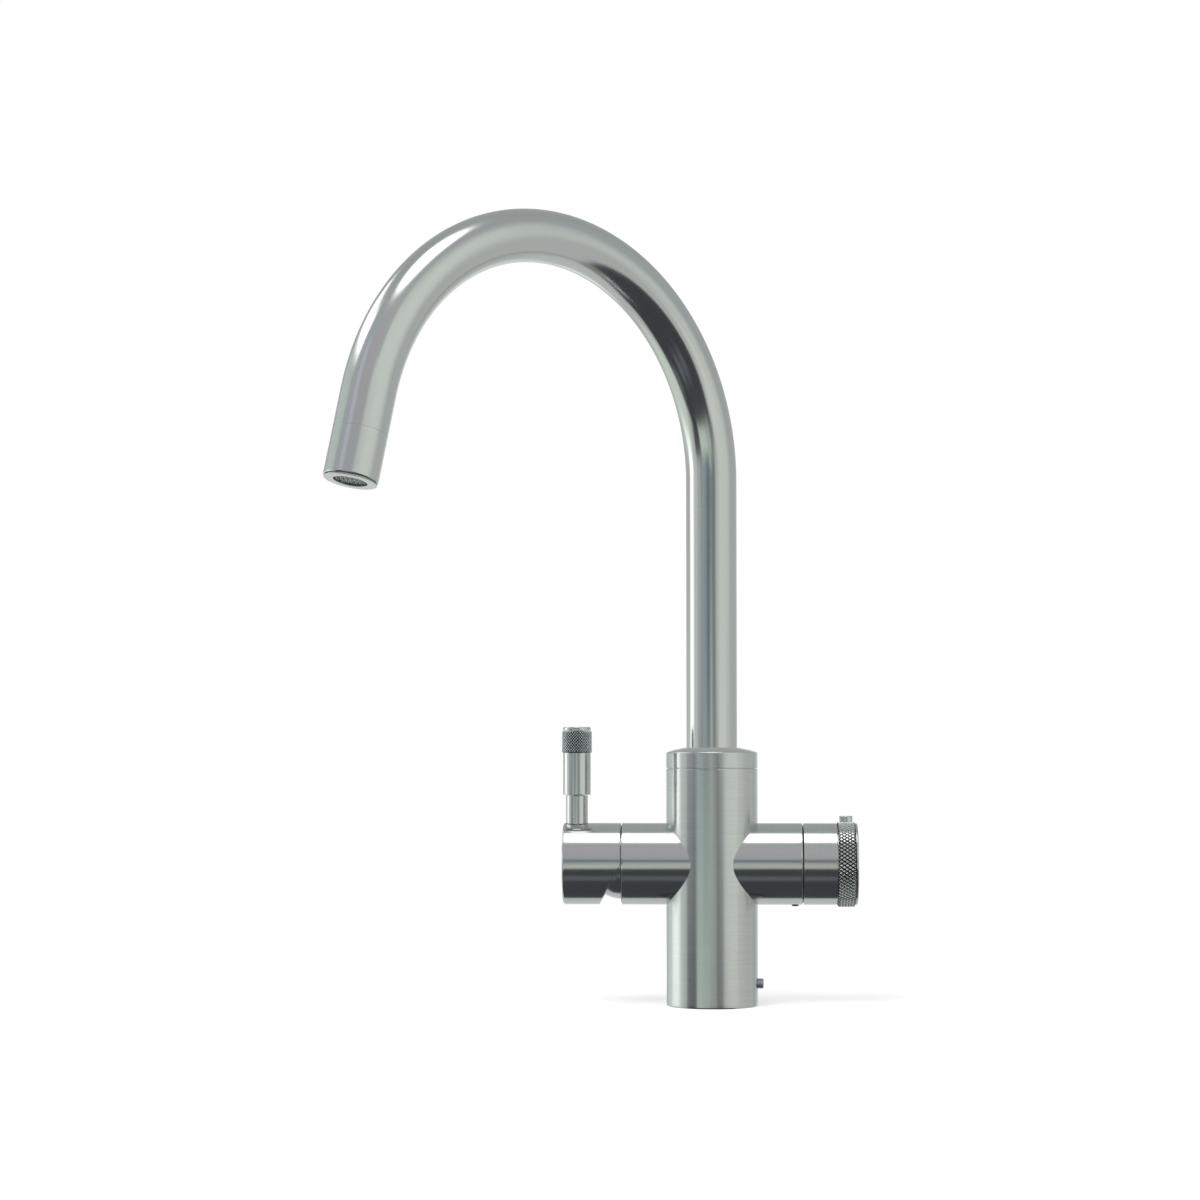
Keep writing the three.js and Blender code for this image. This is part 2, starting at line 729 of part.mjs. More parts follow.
function aeratorSeal() {
  const low = aeratorLength + seatGap - aeratorProud;
  return tubeRing(nozzleBore / 2, aeratorDiameter / 2 - seatGap, low, aeratorPocket - seatGap,
    stillSides);
}

function nozzle() {
  const group = new THREE.Group();
  const turn = rad(bendSweep);
  group.position.set(
    bendRadius * (1 - Math.cos(turn)) + tailLength * Math.sin(turn), 0,
    bendStart + bendRadius * Math.sin(turn) + tailLength * Math.cos(turn));
  group.rotation.y = -rad(tailAngle);
  group.add(
    piece('nozzle_sleeve', nozzleSleeve(), satinSteel),
    piece('aerator_housing', aeratorHousing(), plainSteel),
    piece('aerator_screen', aeratorScreen(), darkSteel),
    piece('aerator_seal', aeratorSeal(), blackRubber));
  return group;
}

function spout() {
  const group = new THREE.Group();
  group.rotation.z = -rad(90 + swingLeft);
  const ringRadius = stubRadius - ringSection + 3 * seatGap;
  const ring = (rise) => sealRing(ringRadius, ringSection - 3 * seatGap, stubFoot + rise, tubeSides);
  group.add(
    piece('spout_tube', spoutTube(), satinSteel),
    piece('inner_water_tube', innerTube(), clearTube),
    piece('spout_collar', spoutCollar(), brushedSteel),
    piece('spout_stub', spoutStub(), brass),
    piece('lower_seal_ring', ring(lowerRingRise), blackRubber),
    piece('upper_seal_ring', ring(upperRingRise), blackRubber),
    piece('retaining_clip', retainingClip(), plainSteel),
    piece('bearing_ring', bearingRing(), whitePlastic),
    nozzle());
  return group;
}

// ---------------------------------------------------------------- arm frames

// Frame of an arm: side is +1 for the right arm and -1 for the left one.
function armFrame(side) {
  const group = new THREE.Group();
  const basis = new THREE.Matrix4().makeBasis(
    new THREE.Vector3(0, 0, 1), new THREE.Vector3(0, -side, 0), new THREE.Vector3(side, 0, 0));
  group.quaternion.setFromRotationMatrix(basis);
  group.position.z = armAxisHeight;
  return group;
}

// Round bar or screw that points up from the arm's axis, made upright first.
function standing(geometry, along) {
  return geometry.rotateY(Math.PI / 2).translate(0, 0, along);
}

// ---------------------------------------------------------------- mixer cartridge

const cartridgeRadius = mixerBore / 2 - seatGap;
const cartridgeFoot = chamberFloor + cartridgeSealThickness + 2 * seatGap;
const fixedDiscFoot = cartridgeFoot + cartridgeFloor + seatGap;
const movingDiscFoot = fixedDiscFoot + discThickness + seatGap;
const ballCentre = tiltAxis - spindleArm;
const driverTop = ballCentre + driverRise;
const carrierFoot = driverTop + seatGap;
const lipFoot = carrierFoot + carrierFlangeThickness + seatGap;
const cartridgeTop = lipFoot + cartridgeLip;

const portAngles = [60, 180, 300];

function portDrills(radius, low, high) {
  return portAngles.map((angle) => rod(waterway / 2, low, high, drillSides)
    .translate(radius * Math.cos(rad(angle)), radius * Math.sin(rad(angle)), 0));
}

function cartridgeSeal() {
  const low = chamberFloor + seatGap;
  const disc = rod(cartridgeRadius - sealMargin, low, low + cartridgeSealThickness, stillSides);
  return cut(disc, ...portDrills(outletLevel, low - overlap, low + 3 * cartridgeSealThickness));
}

function cartridgeHousing() {
  const cavity = cartridgeRadius - cartridgeWall;
  const neck = carrierDiameter / 2 + seatGap;
  const housing = turned([[0, cartridgeFoot], [cartridgeRadius, cartridgeFoot],
    [cartridgeRadius, cartridgeTop], [neck, cartridgeTop], [neck, lipFoot], [cavity, lipFoot],
    [cavity, cartridgeFoot + cartridgeFloor], [0, cartridgeFoot + cartridgeFloor]], innerSides);
  return cut(housing,
    ...portDrills(outletLevel, cartridgeFoot - overlap, cartridgeFoot + cartridgeFloor + overlap));
}

function fixedDisc() {
  const radius = cartridgeRadius - cartridgeWall - seatGap;
  const disc = rod(radius, fixedDiscFoot, fixedDiscFoot + discThickness, stillSides);
  return cut(disc,
    ...portDrills(outletLevel, fixedDiscFoot - overlap, fixedDiscFoot + discThickness + overlap));
}

function movingDisc() {
  const disc = rod(movingDiscDiameter / 2, movingDiscFoot, movingDiscFoot + movingDiscThickness,
    stillSides);
  return cut(disc, rod(mixingPocket / 2, movingDiscFoot - overlap,
    movingDiscFoot + mixingPocketDepth, smallSides));
}

function discDriver() {
  const foot = movingDiscFoot + movingDiscThickness + seatGap;
  const radius = movingDiscDiameter / 2;
  const socket = ballDiameter / 2 + seatGap;
  const floor = ballCentre - ballDiameter / 2 - ballRelief;
  return turned([[0, foot], [radius, foot], [radius, driverTop], [socket, driverTop],
    [socket, floor], [0, floor]], stillSides);
}

// Turning carrier: a flange under the housing's lip and two cheeks for the tilt pin.
function cartridgeCarrier() {
  const radius = carrierDiameter / 2;
  const top = tiltAxis + cheekRise;
  const blank = turned([[carrierPassage / 2, carrierFoot], [carrierFlange / 2, carrierFoot],
    [carrierFlange / 2, carrierFoot + carrierFlangeThickness],
    [radius, carrierFoot + carrierFlangeThickness], [radius, top], [carrierPassage / 2, top]],
  innerSides);
  const cheeks = spindleEyeWidth / 2 + seatGap;
  const slot = new THREE.BoxGeometry(carrierDiameter + 2 * overlap, 2 * cheeks, top)
    .translate(0, 0, cartridgeTop + seatGap + top / 2);
  const fill = cut(rod(radius - edgeBreak, cartridgeTop, top, innerSides), slot);
  const pinHole = crossRod(tiltPinDiameter / 2 + seatGap,
    [0, -carrierDiameter, tiltAxis], [0, carrierDiameter, tiltAxis]);
  const passage = rod(carrierPassage / 2, carrierFoot - overlap, cartridgeTop + seatGap);
  return cut(join(cut(blank, slot), fill), pinHole, slot, passage);
}

function tiltPin() {
  const half = carrierDiameter / 2 - seatGap;
  return crossRod(tiltPinDiameter / 2, [0, -half, tiltAxis], [0, half, tiltAxis], drillSides);
}

// Spindle: a ball that drives the disc, an eye on the tilt pin, and the stem that the
// handle is clamped to.
function cartridgeSpindle() {
  const radius = ballDiameter / 2;
  const stem = spindleDiameter / 2;
  const end = tiltAxis + handleCavity + spindleSocketDepth - seatGap;
  const neckAngle = THREE.MathUtils.radToDeg(Math.acos(spindleNeck / ballDiameter));
  const bar = turned([[0, ballCentre - radius],
    ...arc(0, ballCentre, radius, -45, neckAngle, 3),
    [spindleNeck / 2, tiltAxis], [stem, tiltAxis + 1], [stem, end - edgeBreak],
    [stem - edgeBreak, end], [0, end]], smallSides);
  const eye = crossRod(spindleEye / 2,
    [0, -spindleEyeWidth / 2, tiltAxis], [0, spindleEyeWidth / 2, tiltAxis]);
  const pinHole = crossRod(tiltPinDiameter / 2 + seatGap,
    [0, -spindleEyeWidth, tiltAxis], [0, spindleEyeWidth, tiltAxis], drillSides);
  return cut(join(bar, eye), pinHole);
}

// Two crossing bars that leave four notches for a key in the top of a ring nut.
function keyNotches(reach, top) {
  return [0, 90].map((angle) => new THREE.BoxGeometry(reach, keyNotchWidth, 2 * keyNotchDepth)
    .translate(0, 0, top).rotateZ(rad(angle)));
}

// Threaded ring with four key notches that holds the cartridge in the arm.
function cartridgeNut() {
  const low = cartridgeTop + seatGap;
  const high = low + cartridgeNutThickness;
  return cut(tubeRing(cartridgeNutBore / 2, cartridgeRadius, low, high, innerSides),
    ...keyNotches(mixerBore, high));
}

// Round shroud about the tilt axis, which the handle's wall swings over.
function domeShroud() {
  const outer = domeDiameter / 2;
  const inner = outer - domeWall;
  const foot = cartridgeTop + cartridgeNutThickness + 2 * seatGap;
  const opening = domeOpening / 2;
  const outerEnd = THREE.MathUtils.radToDeg(Math.acos(opening / outer));
  const innerEnd = THREE.MathUtils.radToDeg(Math.acos(opening / inner));
  return turned([[inner, foot], [outer, foot], ...arc(0, tiltAxis, outer, 0, outerEnd, 4),
    ...arc(0, tiltAxis, inner, innerEnd, 0, 2)]);
}

// ---------------------------------------------------------------- handle and lever

// Cup-shaped handle. Its underside is cut back along a slope through the tilt axis, so
// that the top of the handle can swing outwards.
function handleCap() {
  const cavity = domeDiameter / 2 + handleWallClearance;
  const floor = tiltAxis + handleCavity;
  const cup = turned([[cavity, turningStart], [armRadius - edgeBreak, turningStart],
    [armRadius, turningStart + edgeBreak],
    ...arc(armRadius - handleEdge, handleEnd - handleEdge, handleEdge, 0, 90, 2),
    [0, handleEnd], [0, floor], [cavity, floor]]);
  const reach = 3 * armRadius;
  const slope = new THREE.BoxGeometry(reach, reach, reach)
    .translate(-reach / 2, 0, -reach / 2).rotateY(rad(bevelAngle)).translate(0, 0, tiltAxis);
  const socket = rod(spindleDiameter / 2 + seatGap, floor - overlap, floor + spindleSocketDepth, smallSides);
  const stud = standing(rod(leverStud / 2 + seatGap, 0, armRadius, smallSides), leverOffset);
  const recess = standing(rod(leverRecessDiameter / 2, armRadius - leverRecessDepth,
    armRadius + overlap, innerSides), leverOffset);
  return cut(cup, slope, socket, stud, recess);
}

// Stem of the lever. Its stud goes through the handle and clamps the spindle.
function leverStem() {
  const foot = armRadius - leverRecessDepth + seatGap;
  const core = leverCore / 2;
  return turned([[0, spindleDiameter / 2 + seatGap], [leverStud / 2, spindleDiameter / 2 + seatGap],
    [leverStud / 2, foot], [leverRod / 2, foot], [leverRod / 2, leverRodTop - seatGap],
    [core, leverRodTop - seatGap], [core, leverKnurlEnd - leverPlug - seatGap],
    [0, leverKnurlEnd - leverPlug - seatGap]], innerSides);
}

function leverGrip() {
  const radius = leverSleeve / 2;
  const sleeve = turned([[0, leverRodTop], [radius - edgeBreak, leverRodTop],
    [radius, leverRodTop + edgeBreak], [radius, leverKnurlStart + overlap],
    [0, leverKnurlStart + overlap]], innerSides);
  const knurl = knurledRod(leverKnurlDiameter / 2, leverKnurlDepth, leverKnurlStart,
    leverKnurlEnd - seatGap, leverKnurlAround, leverKnurlRows);
  const bore = rod(leverCore / 2 + seatGap, leverRodTop - overlap, leverKnurlEnd + overlap, smallSides);
  return cut(join(sleeve, knurl), bore);
}

function leverCap() {
  const radius = leverSleeve / 2;
  const plug = leverCore / 2;
  return turned([[0, leverKnurlEnd - leverPlug], [plug, leverKnurlEnd - leverPlug],
    [plug, leverKnurlEnd], [radius, leverKnurlEnd], [radius, leverTop - edgeBreak],
    [radius - edgeBreak, leverTop], [0, leverTop]], innerSides);
}

function mixer() {
  const arm = armFrame(-1);
  arm.add(
    piece('cartridge_seal', cartridgeSeal(), blackRubber),
    piece('cartridge_housing', cartridgeHousing(), whitePlastic),
    piece('fixed_ceramic_disc', fixedDisc(), ceramic),
    piece('moving_ceramic_disc', movingDisc(), ceramic),
    piece('disc_driver', discDriver(), greyPlastic),
    piece('cartridge_carrier', cartridgeCarrier(), greyPlastic),
    piece('tilt_pin', tiltPin(), plainSteel),
    piece('cartridge_spindle', cartridgeSpindle(), plainSteel),
    piece('cartridge_nut', cartridgeNut(), brass),
    piece('dome_shroud', domeShroud(), satinSteel),
    piece('handle_cap', handleCap(), satinSteel),
    piece('lever_stem', standing(leverStem(), leverOffset), satinSteel),
    piece('lever_grip', standing(leverGrip(), leverOffset), darkSteel),
    piece('lever_cap', standing(leverCap(), leverOffset), satinSteel));
  return arm;
}

// ---------------------------------------------------------------- boiling water valve

const valveRadius = valveBore / 2 - seatGap;
const valveFoot = chamberFloor + valveSealThickness + 2 * seatGap;
const valveCavityFoot = valveFoot + valveFloor;
const lowerDiscFoot = valveCavityFoot + seatGap;
const upperDiscFoot = lowerDiscFoot + valveDiscThickness + seatGap;
const spindleFoot = upperDiscFoot + valveDiscThickness + seatGap;
const valveCavityTop = spindleFoot + spindleFlangeThickness + seatGap;
const stopRingStart = armReach + stopRingGap;
const stopRingEnd = stopRingStart + stopRingLength;
const valveNeckEnd = stopRingEnd + neckProud;

// Places in the knob, from its end face inwards
const knobEnd = turningStart + knobLength;
const knurlEnd = knobEnd - knurlRim;
const knurlStart = knurlEnd - knurlWidth;
const buttonOffset = (knurlStart + knurlEnd) / 2;
const endCapFoot = knurlEnd + seatGap;
const spigotFoot = endCapFoot - endCapSpigot;
const hubFloor = spigotFoot - screwHeadThickness - 2 * seatGap;
const spindleEnd = hubFloor - hubStep;
const hubStart = spindleEnd - hubSocket;
const screwEnd = spindleEnd - screwEngagement;

function valveSeal() {
  const low = chamberFloor + seatGap;
  const disc = rod(valveRadius - sealMargin, low, low + valveSealThickness, stillSides);
  return cut(disc, ...valveDrills(low));
}

function valveDrills(low) {
  return [outletLevel, inletLevel].map((height) => rod(waterway / 2, low - overlap,
    low + valveFloor + overlap, drillSides).translate(height, 0, 0));
}

function valveHousing() {
  const neckBore = valveSpindle / 2 + seatGap;
  const housing = turned([[0, valveFoot], [valveRadius, valveFoot], [valveRadius, valveShoulder],
    [valveNeck / 2, valveShoulder], [valveNeck / 2, valveNeckEnd], [neckBore, valveNeckEnd],
    [neckBore, valveCavityTop], [valveCavity / 2, valveCavityTop],
    [valveCavity / 2, valveCavityFoot], [0, valveCavityFoot]], innerSides);
  return cut(housing, ...valveDrills(valveFoot));
}

function lowerDisc() {
  const high = lowerDiscFoot + valveDiscThickness;
  const hole = rod(waterway / 2, lowerDiscFoot - overlap, high + overlap, drillSides);
  return cut(rod(valveCavity / 2 - seatGap, lowerDiscFoot, high, innerSides),
    hole.translate(valveCavity / 4, 0, 0));
}

function upperDisc() {
  const radius = valveCavity / 2 - seatGap;
  const high = upperDiscFoot + valveDiscThickness;
  const halfWindow = windowAngle / 2;
  const window = extruded(sectorShape(windowInner / 2, radius + overlap, 180 - halfWindow,
    180 + halfWindow), upperDiscFoot - overlap, high + overlap);
  return cut(rod(radius, upperDiscFoot, high, innerSides), window);
}

function splineOutline(outer, inner, teeth) {
  return Array.from({ length: 4 * teeth }, (_, i) => {
    const angle = 2 * Math.PI * i / (4 * teeth);
    const radius = i % 4 < 2 ? outer : inner;
    return new THREE.Vector2(radius * Math.cos(angle), radius * Math.sin(angle));
  });
}

// Valve spindle with its driving flange, smooth neck and splined end.
function valveStem() {
  const radius = valveSpindle / 2;
  const flange = valveCavity / 2 - seatGap;
  const shaft = turned([[0, spindleFoot], [flange, spindleFoot],
    [flange, spindleFoot + spindleFlangeThickness], [radius, spindleFoot + spindleFlangeThickness],
    [radius, spindleEnd - splineLength], [0, spindleEnd - splineLength]], innerSides);
  const spline = extruded(new THREE.Shape(splineOutline(radius, radius - splineDepth, splineTeeth)),
    spindleEnd - splineLength - overlap, spindleEnd - seatGap);
  const tapped = rod(screwDiameter / 2 + seatGap, screwEnd - overlap, spindleEnd + overlap, smallSides);
  return cut(join(shaft, spline), tapped);
}

function valveNut() {
  const low = valveShoulder + seatGap;
  const high = low + valveNutThickness;
  return cut(tubeRing(valveNeck / 2 + seatGap, valveRadius, low, high, innerSides),
    ...keyNotches(valveBore, high));
}

function valveGrub() {
  const screw = grubScrew(valveGrubDiameter, valveRadius + seatGap, armRadius + valveGrubProud);
  return screw.rotateY(-Math.PI / 2).translate(0, 0, valveNutMiddle);
}

// Fixed ring on the valve's neck. A groove in its rim, a quarter turn long, stops the
// knob's key at either end.
function turnStopRing() {
  const outer = armRadius - knobWall - seatGap;
  const from = -stopKeyAngle / 2 - stopKeyClearance;
  const to = quarterTurn + stopKeyAngle / 2 + stopKeyClearance;
  const groove = extruded(sectorShape(outer - stopRingGrooveDepth, outer + overlap, from, to),
    stopRingStart - overlap, stopRingEnd + overlap);
  return cut(tubeRing(valveNeck / 2 + seatGap, outer, stopRingStart, stopRingEnd, innerSides),
    groove);
}

// ---------------------------------------------------------------- knob and safety button

const knobRadius = armRadius;
const knobBoreRadius = armRadius - knobWall;
const knurlRingBore = knurlDiameter / 2 - knurlDepth - knurlRingWall;
const knobUnderRing = knurlRingBore - seatGap;
const headPocket = screwHeadDiameter / 2 + 1;

function buttonHole(radius, low, high) {
  return standing(rod(radius, low, high, smallSides), buttonOffset);
}

// Knob shell with its web, the hub on the spindle and the key of the turn stop.
function knobShell() {
  const top = knurlEnd;
  const web = top - knobWeb;
  const hub = hubDiameter / 2;
  const shell = turned([[knobBoreRadius, turningStart], [knobRadius - edgeBreak, turningStart],
    [knobRadius, turningStart + edgeBreak], [knobRadius, knurlStart - seatGap],
    [knobUnderRing, knurlStart - seatGap], [knobUnderRing, top],
    [hub - overlap, top], [hub - overlap, web], [knobBoreRadius, web]]);
  const hubProfile = turned([[headPocket, top], [headPocket, hubFloor],
    [screwDiameter / 2 + seatGap, hubFloor], [screwDiameter / 2 + seatGap, spindleEnd],
    [valveSpindle / 2 + seatGap, spindleEnd], [valveSpindle / 2 + seatGap, hubStart],
    [hub, hubStart], [hub, top]], innerSides);
  const keyRoot = knobBoreRadius - stopRingGrooveDepth + seatGap;
  const halfKey = stopKeyAngle / 2;
  const key = extruded(sectorShape(keyRoot, knobBoreRadius + overlap, -halfKey, halfKey),
    stopRingStart + overlap, stopRingEnd - overlap);
  return cut(join(shell, hubProfile, key),
    buttonHole(buttonDiameter / 2 + seatGap, armRadius / 2, armDiameter));
}

function knurledRing() {
  const blank = knurledRod(knurlDiameter / 2, knurlDepth, knurlStart, knurlEnd, knurlAround, knurlRows);
  return cut(blank, rod(knurlRingBore, knurlStart - overlap, knurlEnd + overlap),
    buttonHole(buttonDiameter / 2 + seatGap, 0, armDiameter));
}

function knobEndCap() {
  const spigot = headPocket - seatGap;
  return turned([[0, spigotFoot], [spigot, spigotFoot],
    [spigot, endCapFoot], [knobRadius, endCapFoot],
    ...arc(knobRadius - endCapEdge, knobEnd - endCapEdge, endCapEdge, 0, 90, 2), [0, knobEnd]]);
}

function knobScrew() {
  const low = hubFloor + seatGap;
  const top = low + screwHeadThickness;
  const socket = rod(screwSocket / 2, top - screwSocketDepth, top + overlap, 6);
  const screw = turned([[0, screwEnd], [screwDiameter / 2, screwEnd], [screwDiameter / 2, low],
    [screwHeadDiameter / 2, low], [screwHeadDiameter / 2, top], [0, top]], smallSides);
  return cut(screw, socket);
}

const flangeHalf = buttonFlange / 2;
const flangeTop = Math.sqrt(knobBoreRadius ** 2 - flangeHalf ** 2) - seatGap;

// Safety button, made upright: two lugs inside the shell keep it in.
function safetyButton() {
  const radius = buttonDiameter / 2;
  const foot = flangeTop - buttonFlangeThickness;
  const plunger = turned([[0, foot], [radius, foot], [radius, buttonTop - buttonEdge],
    [radius - buttonEdge, buttonTop], [0, buttonTop]], innerSides);
  const lugs = new THREE.BoxGeometry(0.8 * buttonDiameter, buttonFlange, buttonFlangeThickness)
    .translate(0, 0, foot + buttonFlangeThickness / 2);
  return join(plunger, lugs);
}

class HelixLine extends THREE.Curve {
  constructor(radius, low, high, turns) {
    super();
    Object.assign(this, { radius, low, high, turns });
  }

  getPoint(t, target = new THREE.Vector3()) {
    const angle = 2 * Math.PI * this.turns * t;
    return target.set(this.radius * Math.cos(angle), this.radius * Math.sin(angle),
      THREE.MathUtils.lerp(this.low, this.high, t));
  }
}

function buttonSpring() {
  const wire = springWire / 2;
  const low = hubDiameter / 2 + seatGap + wire;
  const high = flangeTop - buttonFlangeThickness - seatGap - wire;
  const line = new HelixLine((springDiameter - springWire) / 2, low, high, springTurns);
  return new THREE.ExtrudeGeometry(new THREE.Shape(circleOutline(wire, 5)),
    { steps: springSteps * springTurns, extrudePath: line });
}

function boilingSide() {
  const arm = armFrame(1);
  arm.add(
    piece('valve_seal', valveSeal(), blackRubber),
    piece('valve_housing', valveHousing(), brass),
    piece('lower_valve_disc', lowerDisc(), ceramic),
    piece('upper_valve_disc', upperDisc(), ceramic),
    piece('valve_spindle', valveStem(), brass),
    piece('valve_nut', valveNut(), brass),
    piece('valve_grub_screw', valveGrub(), blackOxide),
    piece('turn_stop_ring', turnStopRing(), greyPlastic),
    piece('knob_shell', knobShell(), satinSteel),
    piece('knurled_ring', knurledRing(), darkSteel),
    piece('knob_end_cap', knobEndCap(), satinSteel),
    piece('knob_screw', knobScrew(), plainSteel),
    piece('safety_button', standing(safetyButton(), buttonOffset), satinSteel),
    piece('button_spring', standing(buttonSpring(), buttonOffset), plainSteel));
  return arm;
}

// ---------------------------------------------------------------- the tap

const tap = new THREE.Group();
tap.add(piece('body_casting', bodyCasting(), brushedSteel), fixing(), spout(), mixer(), boilingSide());

export default tap;
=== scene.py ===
"""Looks of the boiling water tap: turned steel pieces, knurls, threads and the woven outlet screen.

Lengths are in millimetres until a mesh is made, +Z is up and -Y points towards the user.
A piece is made of patches: grids of points that share their borders and are then welded.
Every patch has the UV map "brushing": U counts turns about the piece's own axis, and V is
the way along its surface in millimetres, so that turning marks run along U.
"""

import json
import math

import bmesh
import bpy
import numpy as np
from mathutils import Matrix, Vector


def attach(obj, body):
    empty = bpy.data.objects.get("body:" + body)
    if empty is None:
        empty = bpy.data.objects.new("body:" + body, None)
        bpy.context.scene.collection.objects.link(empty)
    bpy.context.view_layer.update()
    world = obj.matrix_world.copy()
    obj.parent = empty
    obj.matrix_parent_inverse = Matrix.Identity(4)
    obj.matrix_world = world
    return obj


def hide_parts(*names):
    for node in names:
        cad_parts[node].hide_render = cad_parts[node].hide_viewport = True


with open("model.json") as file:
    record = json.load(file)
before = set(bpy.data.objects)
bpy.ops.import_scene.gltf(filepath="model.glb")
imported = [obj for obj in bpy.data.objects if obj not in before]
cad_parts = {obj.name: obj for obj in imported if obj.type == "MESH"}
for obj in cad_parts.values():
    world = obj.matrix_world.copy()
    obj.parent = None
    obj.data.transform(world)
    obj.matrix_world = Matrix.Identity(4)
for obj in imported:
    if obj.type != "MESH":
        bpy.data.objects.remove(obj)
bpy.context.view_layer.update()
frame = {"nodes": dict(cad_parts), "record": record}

bl_info = {
    "name": "Boiling water tap",
    "version": (1, 0, 0),
    "blender": (4, 5, 0),
    "location": "View3D > Sidebar > Tap",
    "description": "Builds the surfaces, finishes and studio of a boiling water tap",
    "category": "Object",
}

MILLIMETRE = 0.001
TURN = 2 * math.pi
BRUSHING = "brushing"
WELD_DISTANCE = 2e-6
SHARP_ANGLE = math.radians(24)
LONG_SIDE, GUARD = 4.0, 0.15      # sides over this length get a point this far from an arc
KNURL_STEPS = 8                   # faces across a diamond, each way
KNURL_FLAT = 0.5                  # share of the wave above which a tip is level

# Sizes of the solids that the surfaces follow, in millimetres
BODY_RADIUS, BODY_TOP = 22.5, 116.2
ARM_RADIUS, ARM_END, ARM_AXIS = 20.0, 44.2, 69.4
TURNING_START = 44.8
SPIGOT_RADIUS, SPIGOT_END = 19.2, 44.5
CHAMBER_FLOOR, MIXER_BORE, VALVE_BORE = 14.0, 17.6, 14.0
SPOUT_BORE, SPOUT_FLOOR = 15.6, 90.0
SKIRT_SEAT, BEARING_SEAT = (21.5, 115.0), (19.3, 112.5)
SOCKET_RADIUS, SOCKET_TOP = 16.5, 20.0
TUBE_RADIUS, TUBE_BORE, TUBE_FOOT = 12.5, 11.0, 100.2
BEND_RADIUS, BEND_START, BEND_SWEEP = 109.0, 258.3, math.radians(166.2)
TUBE_TAIL, TAIL = 18.5, 40.8
SWING = math.radians(-135)
NOZZLE_LENGTH = 22.0
HANDLE_END, HANDLE_FLOOR, HANDLE_BORE = 73.2, 61.9, 17.6
BEVEL = math.radians(28.2)
LEVER_PLACE, BUTTON_PLACE = -66.65, 65.8
KNURL_START, KNURL_END, KNOB_END = 61.6, 70.0, 71.4
LOCK_SCREW_HEIGHT, GRUB_PLACE = 10.9, 40.8
WASHER_RADIUS, WASHER_BORE = 26.0, 14.3
NUT_TOP, NUT_BOTTOM, NUT_APOTHEM = -36.1, -45.1, 19.0
NUT_BORE, NUT_MOUTH, NUT_CHAMFER, MOUTH_DEPTH = 14.3, 15.1, 1.5, 0.8
SHANK_RADIUS, SHANK_BORE, SHANK_FOOT = 14.0, 11.0, -62.0
SHANK_HEAD, SHANK_TOP = 16.2, 19.7
THREAD_LOW, THREAD_HIGH = -61.0, -1.0
NOZZLE_SHOULDER, NOZZLE_GAP, NOZZLE_SPIGOT = 12.3, 0.25, 10.55
DOME_OUTER, DOME_INNER, DOME_OPENING, DOME_FOOT = 17.2, 15.7, 12.6, 43.9
STEM_RADIUS, STEM_FOOT, STEM_TOP = 5.45, 19.5, 33.6
PIN_RADIUS, PIN_TOP = 3.0, 61.2
SLEEVE_RADIUS, SLEEVE_BORE, SLEEVE_FOOT, SLEEVE_TOP = 6.85, 3.3, 33.9, 54.5
GRIP_PEAK, GRIP_FOOT, GRIP_TOP, GRIP_FADE = 7.35, 54.7, 65.2, 0.25
CAP_FOOT, CAP_TOP = 65.5, 67.3
KNOB_BORE, RING_SEAT, RING_BORE = 17.6, 19.05, 19.35
RING_PEAK, RING_FADE = 20.9, 0.4
BUTTON_RADIUS, BUTTON_FOOT, BUTTON_TOP = 3.25, 15.34, 23.6
DISH_RADIUS, DISH_DEPTH = 2.3, 0.28
LUG_HALF_WIDTH, LUG_REACH, LUG_THICKNESS = 2.6, 4.4, 1.4


# ---------------------------------------------------------------- places

def placed(origin, outwards=(0, 0, 1), up=None):
    """Place of a piece's own axes: rows are its X, Y and Z axes, Z being its turning axis."""
    z = np.array(outwards, float) / np.linalg.norm(outwards)
    x = np.array(up if up is not None else (1, 0, 0), float)
    x = x - z * (x @ z)
    x /= np.linalg.norm(x)
    return np.array([x, np.cross(z, x), z]), np.array(origin, float)


UPRIGHT = placed((0, 0, 0))
LEFT_ARM = placed((0, 0, ARM_AXIS), (-1, 0, 0), (0, 0, 1))
RIGHT_ARM = placed((0, 0, ARM_AXIS), (1, 0, 0), (0, 0, 1))
LEVER = placed((LEVER_PLACE, 0, ARM_AXIS))
BUTTON = placed((BUTTON_PLACE, 0, ARM_AXIS))
SPOUT_OUT = np.array([math.cos(SWING), math.sin(SWING), 0.0])


def outlet_place():
    """Place of the nozzle: origin at the outlet's middle, Z back up along the tail."""
    across, rise = math.sin(BEND_SWEEP), math.cos(BEND_SWEEP)
    run = BEND_RADIUS * (1 - rise) + TAIL * across
    height = BEND_START + BEND_RADIUS * across + TAIL * rise
    down = SPOUT_OUT * across + np.array([0, 0, rise])
    return placed(SPOUT_OUT * run + np.array([0, 0, height]), -down, SPOUT_OUT)


OUTLET = outlet_place()
# The screen's close wires stand a little turned, and every WEFT spacings a wire crosses them
SCREEN = placed(OUTLET[1], OUTLET[0][2], (1, -0.25, 0))
WEFT = 4.0


# ---------------------------------------------------------------- patches

def put(local, place):
    """Points given along a place's own axes, moved into the tap's frame."""
    axes, origin = place
    return np.asarray(local, float) @ axes + origin


